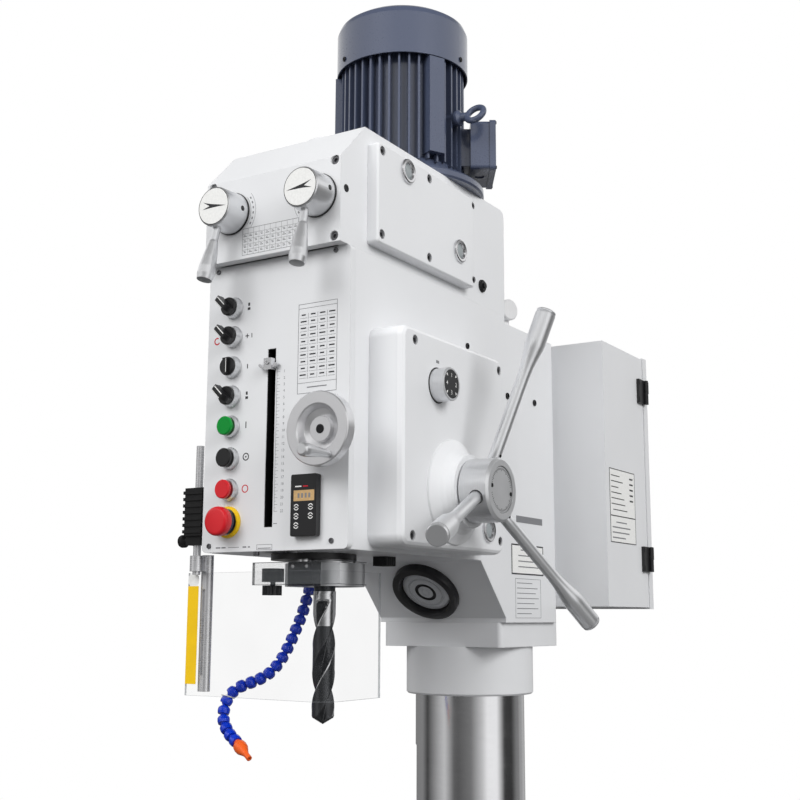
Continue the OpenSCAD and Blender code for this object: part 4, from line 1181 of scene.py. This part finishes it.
@dataclass
class FeedGear:
    """Feed hub with its three handles, and the feed dial over it."""

    hub: Triple = (223.0, -394.5, 1519.0)
    hub_long: float = 49.5
    root: float = 26.0
    root_r: float = 32.0
    first: float = -12.8
    lean: float = 15.7
    length: float = 263.0
    dial: Triple = (190.0, -444.0, 1679.0)
    dial_long: float = 24.5
    digit_r: float = 13.5

    def build(self) -> None:
        """Dresses hub and handles and adds their marks."""
        dress({"feed_hub": HUB_ALLOY})
        self.hub_face()
        self.handles()
        self.dial_face()

    def handle_place(self, i: int) -> Matrix:
        """Places a handle, its z pointing out along it.

        Args:
            i: the handle's number, 0 to 2.

        Returns:
            The placing.
        """
        x, y, z = self.hub
        return (moved(x + self.root, y, z) @ turned(self.first + i * 120, "X") @ moved(0, 0, self.root_r)
                @ turned(self.lean, "Y"))

    def hub_face(self) -> None:
        """Prints the hub's graduation and adds its two screws."""
        x, y, z = self.hub
        x += self.hub_long
        shape = Shape(DARK_INK, Facing.RIGHT.at(x, y, z))
        shape.arc(35.2, 0.6, 0, 360, BOLD, 72)
        for i, angle in ticks(60):
            if 8 < angle % 180 < 172:
                shape.to(Facing.RIGHT.at(x, y, z, angle))
                shape.slab(31.6 if i % 5 else 30.6, 0, 3 if i % 5 else 5, 0.7, high=BOLD)
        for angle in (172.0, -8.0):
            shape.wear(BLACK_STEEL).to(Facing.RIGHT.at(x, y, z, angle) @ moved(31, 0, 0))
            shape.socket_head(3.4, 0.9)
        shape.piece("hub_graduation", "feed_hub", "satin_alloy")

    def handles(self) -> None:
        """Builds the three handles: slim shank, swelling grip and stepped end."""
        shape = Shape(GRIP_ALLOY)
        end = self.length
        shank = [(0, -11), (8.9, -11), (8.9, 8), (9.6, 9.5), (9.7, 40), (9.4, end * 0.5), (9.6, end * 0.6)]
        swell = [(10.4, 0.66), (12.4, 0.72), (14.6, 0.77), (15.8, 0.8), (16, 0.83)]
        steps = [(16, 1.5), (14.4, 2), (14.4, 3.6), (15.4, 4.2), (15.4, 6.6), (14, 8), (0, 8)]
        profile = shank + [(r, end * share) for r, share in swell] + [(r, end + step) for r, step in steps]
        side = moved(9.2, 0, 26) @ turned(90, "Y")
        for i in range(3):
            place = self.handle_place(i)
            shape.to(place).wear(GRIP_ALLOY).lathe(profile, 40)
            shape.to(place @ side).wear(BLACK_STEEL).lathe([(0, 0.6), (2.6, 0.6), (3.2, 0), (0, 0)], 20)
        shape.piece("feed_levers", "feed_hub", "satin_alloy", ["feed_handles"])

    def dial_face(self) -> None:
        """Dresses the dial and prints its white marks on black."""
        dress({"feed_dial": HUB_ALLOY})
        x, y, z = self.dial
        face_x = x + self.dial_long
        shape = Shape(BLACK, Facing.RIGHT.at(face_x, y, z))
        shape.lathe([(0, BOLD), (22.3, BOLD), (22.3, 0), (0, 0)])
        shape.wear(LABEL)
        for (_, angle), text in zip(ticks(4), "2143"):
            spin = math.radians(angle)
            shape.number(text, self.digit_r * math.cos(spin), self.digit_r * math.sin(spin), 9.5, BOLD + PRINT)
        for _, angle in ticks(4):
            shape.to(Facing.RIGHT.at(face_x, y, z, angle + 45))
            shape.prism([(20.5, -2), (20.5, 2), (15.5, 0)], BOLD, BOLD + PRINT)
        shape.wear(GREY_INK).to(Facing.RIGHT.at(x, y, z + 37)).slab(0, 0, 9, 4.5, high=BOLD)
        shape.piece("dial_marks", "feed_dial", "satin_alloy")
        seat = Shape(RUBBER, Facing.RIGHT.at(x, y, z))
        seat.lathe([(9, 0.05), (9, 0.35), (27.4, 0.35), (28, 0.05)], 56, loop=True)
        seat.piece("dial_gasket", "machine", "black_plastic")


@dataclass
class SpindleGroup:
    """Quill, spindle, depth stop and the twist drill."""

    axis_y: float = -467.0
    collar_z: float = 1410.3
    collar_r: float = 62.2
    drill_r: float = 17.5
    tip_z: float = 1168.0
    tip_r: float = 0.25
    point_half: float = 59.0
    flute_depth: float = 0.72
    runout: float = 20.0
    relief: float = 0.35
    relieved: Pair = (50.0, 132.0)
    margin: Pair = (42.0, 48.0)
    lead: float = 186.0
    phase: float = -62.6
    land_top: float = 1315.0
    flute_top: float = 1353.0
    shank_top: float = 1368.0
    sides: int = 60
    clamp_screws: Sequence[Triple] = ((-4, -545, 1404), (22, -545, 1404))
    pointer_screw: Triple = (-8.0, -613.5, 1706.0)
    clip_at: Triple = (-9.3, -603.6, 1719.0)

    def build(self) -> None:
        """Dresses quill and spindle and builds the drill."""
        collar = Split("stop_collar_finish", (0, 0, 0), below=ALLOY, above=BLACK_STEEL, level=self.collar_z,
                       ring=(0.0, self.axis_y, self.collar_r))
        stop = Split("depth_stop_finish", (0, 0, 0), below=collar, above=BRIGHT_STEEL, level=self.collar_z)
        dress({"quill": BRIGHT_STEEL, "spindle": BARE_STEEL, "depth_rod": stop})
        self.twist_drill()
        self.stop_screws()

    def section(self, z: float, angle: float) -> float:
        """Works out the drill's radius.

        Args:
            z: height.
            angle: degrees from the middle of a flute.

        Returns:
            The radius there.
        """
        fade = min(max((self.flute_top - z) / self.runout, 0.0), 1.0) ** 0.5
        wave = max((math.cos(math.radians(2 * angle)) - 0.1) / 0.9, 0.0)
        radius = self.drill_r - (self.drill_r * self.flute_depth) * wave ** 0.6 * fade
        first, last = self.relieved
        if first < angle % 180 < last and fade > 0.9:
            radius -= self.relief
        cone = (z - self.tip_z) * math.tan(math.radians(self.point_half)) + self.tip_r
        return max(min(radius, cone), self.tip_r)

    def twist_drill(self) -> None:
        """Builds the drill: conical point, two right-hand flutes running out in a bright shank."""
        sides = self.sides
        levels = [0, 1, 2.5, 4.5, 7, 9.5] + [12 + i * 2.5 for i in range(74)]
        heights = [self.tip_z + h for h in levels if self.tip_z + h < self.shank_top] + [self.shank_top]
        points: list[Triple] = []
        for z in heights:
            twist = self.phase + 360.0 * (z - self.tip_z) / self.lead
            for i in range(sides):
                angle = 360.0 * i / sides
                radius = self.section(z, angle)
                spin = math.radians(angle + twist)
                points.append((radius * math.cos(spin), radius * math.sin(spin), z))
        dark, bright = [], []
        for k in range(len(heights) - 1):
            for i in range(sides):
                j = (i + 1) % sides
                face = (k * sides + i, k * sides + j, (k + 1) * sides + j, (k + 1) * sides + i)
                reach = max(math.hypot(*points[f][:2]) for f in face)
                on_margin = self.margin[0] <= (360.0 * i / sides) % 180 < self.margin[1] and k > 5
                is_dark = (heights[k] < self.land_top and not on_margin) or reach < self.drill_r - 0.9
                (dark if is_dark else bright).append(face)
        last = len(points) - sides
        bright.append(tuple(range(last, last + sides)))
        dark.append(tuple(reversed(range(sides))))
        shape = Shape(DRILL_BLACK, Facing.UP.at(0, self.axis_y, 0))
        shape.add(points, dark)
        shape.wear(BRIGHT_STEEL).add(points, bright)
        bmesh.ops.remove_doubles(shape.mesh, verts=shape.mesh.verts, dist=0.001)
        foot, top = self.shank_top - 0.1, self.shank_top + 8.9
        shape.wear(DRILL_BLACK).lathe([(0, foot), (16.5, foot), (16.5, top), (0, top)])
        shape.piece("twist_drill", "spindle", "bare_steel", ["drill_bit"], angle=38)

    def stop_screws(self) -> None:
        """Adds the clamp screws in the depth stop, the pointer's screw and the bright clip under it."""
        shape = Shape(BRIGHT_STEEL)
        for place in self.clamp_screws:
            shape.to(Facing.FRONT.at(*place)).socket_head(3.4, 1.0)
        shape.to(Facing.FRONT.at(*self.pointer_screw)).socket_head(3.6, 1.6)
        shape.to(Facing.FRONT.at(*self.clip_at)).arc(22, 3.6, 222, 318, 8.0, 20)
        shape.piece("stop_screws", "quill", "polished_steel")


@dataclass
class Guard:
    """Clear folded guard on its post, with the clamp, knob and yellow strip."""

    plan: Sequence[Pair] = ((-180, -579.5), (-100, -579.5), (-20, -586), (66, -591), (96, -567), (96, -455))
    inset: Sequence[Pair] = ((0, 4), (0, 4), (0, 4), (-1, 4), (-4, 2), (-4, 0))
    low: float = 1210.0
    high: float = 1395.0
    end_y: float = -455.0
    bracket_y: float = -555.5
    bracket_z: Pair = (1376.0, 1409.2)
    strip_at: Triple = (-169.2, -579.6, 0.0)

    def build(self) -> None:
        """Dresses post and rail and builds the clear pieces."""
        dress({"guard_rod": RAIL_CHROME, "guard_rail": RAIL_CHROME, "rod_clamp": RUBBER, "guard_knob": BLACK,
               "guard_sheet": CLEAR})
        self.edges()
        self.strip()

    def edges(self) -> None:
        """Adds the pale cut edges of the clear sheet and the dark ones of its bracket."""
        shape = Shape(CLEAR_EDGE)
        inner = [(p[0] + d[0], p[1] + d[1]) for p, d in zip(self.plan, self.inset)]
        for z in (self.low - 0.1, self.high):
            for k in range(len(self.plan) - 1):
                shape.to(Facing.UP.at(0, 0, z)).prism(
                    [self.plan[k], self.plan[k + 1], inner[k + 1], inner[k]], 0, 0.1)
        shape.to(Facing.UP.at(0, 0, 0))
        shape.slab(94, self.end_y + 0.05, 3.8, 0.1, self.low, self.high)
        shape.slab(-180.05, -577.5, 0.1, 3.8, self.low, self.high)
        shape.wear(BRACKET_EDGE)
        for z in self.bracket_z:
            shape.slab(10.5, self.bracket_y, 163, 5.1, z - 0.05, z + 0.85)
            shape.slab(89.5, -522, 5.1, 66, z - 0.05, z + 0.85)
        shape.slab(-70.6, self.bracket_y, 0.9, 5.1, 1376, 1410)
        shape.wear(BRACKET_FILM).slab(10.5, self.bracket_y - 2.55, 161.4, 0.1, 1377, 1409)
        shape.piece("guard_edges", "guard", "clear_sheet")

    def strip(self) -> None:
        """Adds the plain yellow strip and the white one over it."""
        shape = Shape(YELLOW, Facing.FRONT.at(*self.strip_at))
        shape.slab(0, 1301, 21.4, 148, high=STOCK, radius=1.0)
        shape.wear(LABEL).slab(0, 1384.4, 21.4, 18, 0, 0.25, 6.0)
        shape.piece("guard_strip", "guard", "clear_sheet")


@dataclass
class CoolantHose:
    """Jointed coolant hose and its nozzle."""

    ring_at: Triple = (-177.0, -480.0, 1203.0)
    ring_way: Triple = (-2.0, -4.0, -14.0)

    def build(self) -> None:
        """Dresses the links and adds the thin white ring."""
        dress({"coolant_hose": BLUE, "hose_nozzle": ORANGE})
        lean = Vector(self.ring_way).to_track_quat("Z", "Y").to_matrix().to_4x4()
        shape = Shape(LABEL, moved(*self.ring_at) @ lean)
        shape.lathe([(9.85, -0.6), (11.4, -0.6), (11.4, 0.6), (9.85, 0.6)], 32, loop=True)
        shape.piece("hose_ring", "coolant_hose", "blue_plastic")


@dataclass
class Motor:
    """Finned motor with its cowl, box and lifting eye."""

    axis_y: float = -245.0
    base_z: float = 2071.0
    cowl_low: float = 2302.0
    cowl_turns: Triple = (-118.0, 2.0, 122.0)
    cowl_r: float = 120.0
    fan_z: float = 2337.0
    flange_r: float = 130.0
    box_turn: float = 32.0
    box_screws: Sequence[Triple] = tuple((167.0, y, z) for y in (-49.0, 49.0) for z in (46.0, 130.0))

    def build(self) -> None:
        """Dresses the motor and adds its screws."""
        painted = ("motor_frame", "fan_cowl", "terminal_box", "eye_bolt")
        dress({
            **dict.fromkeys(painted, MOTOR_BLUE),
            "motor_rotor": Split("rotor_finish", (0, 0, 0), below=BARE_STEEL, above=BLACK, level=self.fan_z)})
        shape = Shape(BLACK_STEEL)
        around = moved(0, self.axis_y, 0)
        outward = turned(90, "Y")
        for turn in self.cowl_turns:
            shape.to(around @ turned(turn) @ moved(self.cowl_r, 0, self.cowl_low + 14) @ outward)
            shape.socket_head(4.4, 2.4)
        for _, turn in ticks(4):
            shape.to(around @ turned(45 + turn) @ moved(self.flange_r, 0, self.base_z + 15))
            shape.lathe([(0, 8), (8, 8), (9.2, 6.8), (9.2, 0), (0, 0)], 6)
        for x, y, z in self.box_screws:
            shape.to(around @ turned(self.box_turn) @ moved(x, y, self.base_z + z) @ outward)
            shape.socket_head(3.0, 1.6)
        shape.piece("motor_screws", "machine", "dark_steel")


@dataclass
class Cabinet:
    """Electric cabinet with its door, hinges, lock and inner plate."""

    side_x: float = 222.0
    door_x: float = 224.6
    plate_y: float = 153.9
    label_at: Pair = (223.5, 1543.5)
    label_size: Pair = (131.0, 143.0)
    label_bars: Sequence[Pair] = ((-58, 44), (-58, 60), (-58, 36), (-58, 52), (-58, 66), (-58, 70), (-50, 72))
    foot_bars: Sequence[Pair] = ((-36, 54), (-56, 92), (-56, 86), (-56, 66))
    rib_y: float = 321.0
    ribs_z: Sequence[float] = (1428.0, 1464.0, 1773.0, 1809.0)

    def build(self) -> None:
        """Dresses the cabinet and prints its plain label."""
        dress({
            "cabinet_box": SHEET_WHITE, "cabinet_hinges": BLACK, "door_lock": BARE_STEEL,
            "cabinet_door": Split("cabinet_door_finish", (0, 0, 0), below=SHEET_WHITE, above=BLACK, axis="X",
                                  level=self.door_x),
            "electrics": Split("electrics_finish", (0, 0, 0), below=BARE_STEEL, above=GREY, axis="Y",
                               level=self.plate_y)})
        self.label()
        self.hinge_ribs()

    def label(self) -> None:
        """Prints the outlined label on the cabinet's right side as plain bars."""
        w, h = self.label_size
        shape = Shape(LABEL, Facing.RIGHT.at(self.side_x, *self.label_at))
        shape.slab(0, 0, w, h, high=STOCK, radius=1.5)
        shape.wear(DARK_INK).frame(0, 0, w, h, 1.6, STOCK_PRINT)
        shape.slab(0, -20, w, 2.0, high=STOCK_PRINT)
        for i, (left, width) in enumerate(self.label_bars):
            shape.slab(left + width / 2, 58 - i * 11, width, 1.8, STOCK, STOCK_PRINT)
            if i < 5:
                shape.slab(46, 58 - i * 11, 18, 3.2, STOCK, STOCK_PRINT)
        shape.wear(GREY_INK)
        for i, (left, width) in enumerate(self.foot_bars):
            shape.slab(left + width / 2, -32 - i * 10, width, 2.4, STOCK, STOCK_PRINT)
        shape.piece("cabinet_label", "machine", "cast_white")

    def hinge_ribs(self) -> None:
        """Adds the moulded ribs on the hinge blocks."""
        shape = Shape(BLACK, Facing.RIGHT.at(self.side_x + 6, 0, 0))
        for z in self.ribs_z:
            shape.slab(self.rib_y, z, 3, 10, -0.1, 0.6)
        shape.piece("hinge_ribs", "machine", "black_plastic")


@dataclass
class TableGroup:
    """Table, its arm, the lift crank and the clamp lever."""

    def build(self) -> None:
        """Dresses the table group."""
        dress({"table_arm": CAST_WHITE, "table": TABLE_STEEL, "lift_crank": BARE_STEEL,
               "table_clamp_lever": BARE_STEEL})


# Studio


@dataclass
class Studio:
    """Pale floor, soft lamps, white background and the camera at the photograph's place."""

    eye: Triple = (1.1032, -2.0153, 1.330)
    yaw: float = 31.98
    pitch: float = 10.18
    roll: float = 0.25
    lens: float = 54.25
    sensor: float = 36.0
    floor_r: float = 4.0
    floor_bounce: float = 0.18
    floor_seen: float = 0.93
    low_tone: float = 0.06
    sky: Sequence[Pair] = ((0.0, 0.13), (0.47, 0.16), (0.53, 0.6), (0.7, 0.7), (1.0, 0.2))
    overhead: Sequence[Pair] = ((0.2, 0.7), (0.34, 1.0), (0.55, 0.9), (0.68, 0.22), (1.0, 0.12))
    bands: Sequence[Pair] = (
        (0.0, 0.25), (0.05, 0.05), (0.1, 0.25), (0.178, 0.62), (0.235, 0.13), (0.262, 0.11), (0.336, 0.2),
        (0.4, 0.62), (0.43, 0.97), (0.49, 1.0), (0.515, 0.5), (0.54, 0.05), (0.6, 0.04), (0.64, 0.2),
        (0.7, 0.35), (0.75, 0.5), (0.82, 0.2), (1.0, 0.25))
    lamps: Sequence[tuple[str, Triple, Triple, Pair, float]] = field(default_factory=lambda: (
        ("front_lamp", (-1.3, -7.3, 6.2), (0.0, -0.3, 1.6), (5.0, 5.0), 425.0),
        ("right_lamp", (8.0, -2.6, 5.5), (0.0, -0.2, 1.6), (4.5, 4.5), 500.0),
        ("top_lamp", (0.3, 0.4, 5.2), (0.0, -0.2, 1.4), (3.0, 3.0), 6.0)))

    def build(self) -> None:
        """Sets up camera, floor, world and lamps."""
        self.camera()
        self.floor()
        self.world()
        self.light()
        bpy.context.scene.view_settings.view_transform = "Standard"

    def camera(self) -> None:
        """Makes the camera that matches the photograph."""
        a, e, r = (math.radians(v) for v in (self.yaw, self.pitch, self.roll))
        forward = Vector((-math.sin(a) * math.cos(e), math.cos(a) * math.cos(e), math.sin(e)))
        level = Vector((math.cos(a), math.sin(a), 0.0))
        up = level.cross(forward)
        right = math.cos(r) * level + math.sin(r) * up
        top = math.cos(r) * up - math.sin(r) * level
        data = bpy.data.cameras.new("camera")
        data.lens = self.lens
        data.sensor_width = self.sensor
        made = bpy.data.objects.new("camera", data)
        made.matrix_world = Matrix((right, top, -forward)).transposed().to_4x4()
        made.location = self.eye
        bpy.context.scene.collection.objects.link(made)
        bpy.context.scene.camera = made

    def floor(self) -> None:
        """Makes the round floor, which keeps the shadow and fades out at its edge."""
        mesh = bmesh.new()
        bmesh.ops.create_circle(mesh, cap_ends=True, segments=96, radius=self.floor_r)
        data = bpy.data.meshes.new("floor")
        mesh.to_mesh(data)
        mesh.free()
        made = bpy.data.objects.new("floor", data)
        made.location.z = -0.0005
        bpy.context.scene.collection.objects.link(made)
        material = bpy.data.materials.new("studio_floor")
        material.use_nodes = True
        tree = Tree(material.node_tree)
        place = tree.coords()
        far = tree.vector("LENGTH", place, out="Value")
        fade = ((far / self.floor_r - 0.45) * 1.9).clipped()
        tone = tree.blend(tree.ray("Camera"), grey(self.floor_bounce), grey(self.floor_seen))
        matt = tree.node("ShaderNodeBsdfDiffuse", {}, {"Color": tone})
        open_air = tree.node("ShaderNodeBsdfTransparent")
        both = tree.node("ShaderNodeMixShader", {}, {0: fade, 1: matt, 2: open_air})
        tree.node("ShaderNodeOutputMaterial", {}, {"Surface": both})
        data.materials.append(material)

    def world(self) -> None:
        """Makes the world: white where it is seen, a dim sky as light, and bands in what metal mirrors."""
        world = bpy.data.worlds.new("studio")
        world.use_nodes = True
        bpy.context.scene.world = world
        tree = Tree(world.node_tree)
        way = tree.node("ShaderNodeTexCoord", out="Generated")
        height = tree.axis(way, "Z")
        sky = tree.ramp((height * 0.5 + 0.5).clipped(), self.sky)
        turn = tree.node("ShaderNodeMath", {"operation": "ARCTAN2"}, {
            0: tree.axis(way, "Y"), 1: tree.axis(way, "X")}) / math.tau + 0.5
        bands = tree.blend(((height + 0.25) * -4.0).clipped(), tree.ramp(turn, self.bands), grey(self.low_tone))
        bands = tree.blend(((height - 0.16) * 5.0).clipped(), bands, tree.ramp(height, self.overhead))
        mirrored = tree.blend(tree.ray("Glossy"), sky, bands)
        shown = tree.blend((tree.ray("Camera") + tree.ray("Transmission")).clipped(), mirrored, grey(1.0))
        light = tree.node("ShaderNodeBackground", {}, {"Color": shown, "Strength": 1.0})
        tree.node("ShaderNodeOutputWorld", {}, {"Surface": light})

    def light(self) -> None:
        """Hangs the soft lamps."""
        for name, place, aim, size, power in self.lamps:
            data = bpy.data.lights.new(name, "AREA")
            data.shape = "RECTANGLE"
            data.size, data.size_y = size
            data.energy = power
            made = bpy.data.objects.new(name, data)
            made.location = place
            made.rotation_euler = (Vector(aim) - Vector(place)).to_track_quat("-Z", "Y").to_euler()
            made.visible_glossy = False
            bpy.context.scene.collection.objects.link(made)


def main() -> None:
    """Builds the studio and every sub-assembly in order."""
    logging.basicConfig(level=logging.INFO, format="%(message)s")
    assemblies = (
        Studio(), Castings(), WorkLamp(), FrontPanel(), Switches(), Readout(), Handwheel(), SpeedControls(),
        FeedGear(), SpindleGroup(), Guard(), CoolantHose(), Motor(), Cabinet(), TableGroup())
    for assembly in assemblies:
        assembly.build()


if __name__ == "__main__":
    main()
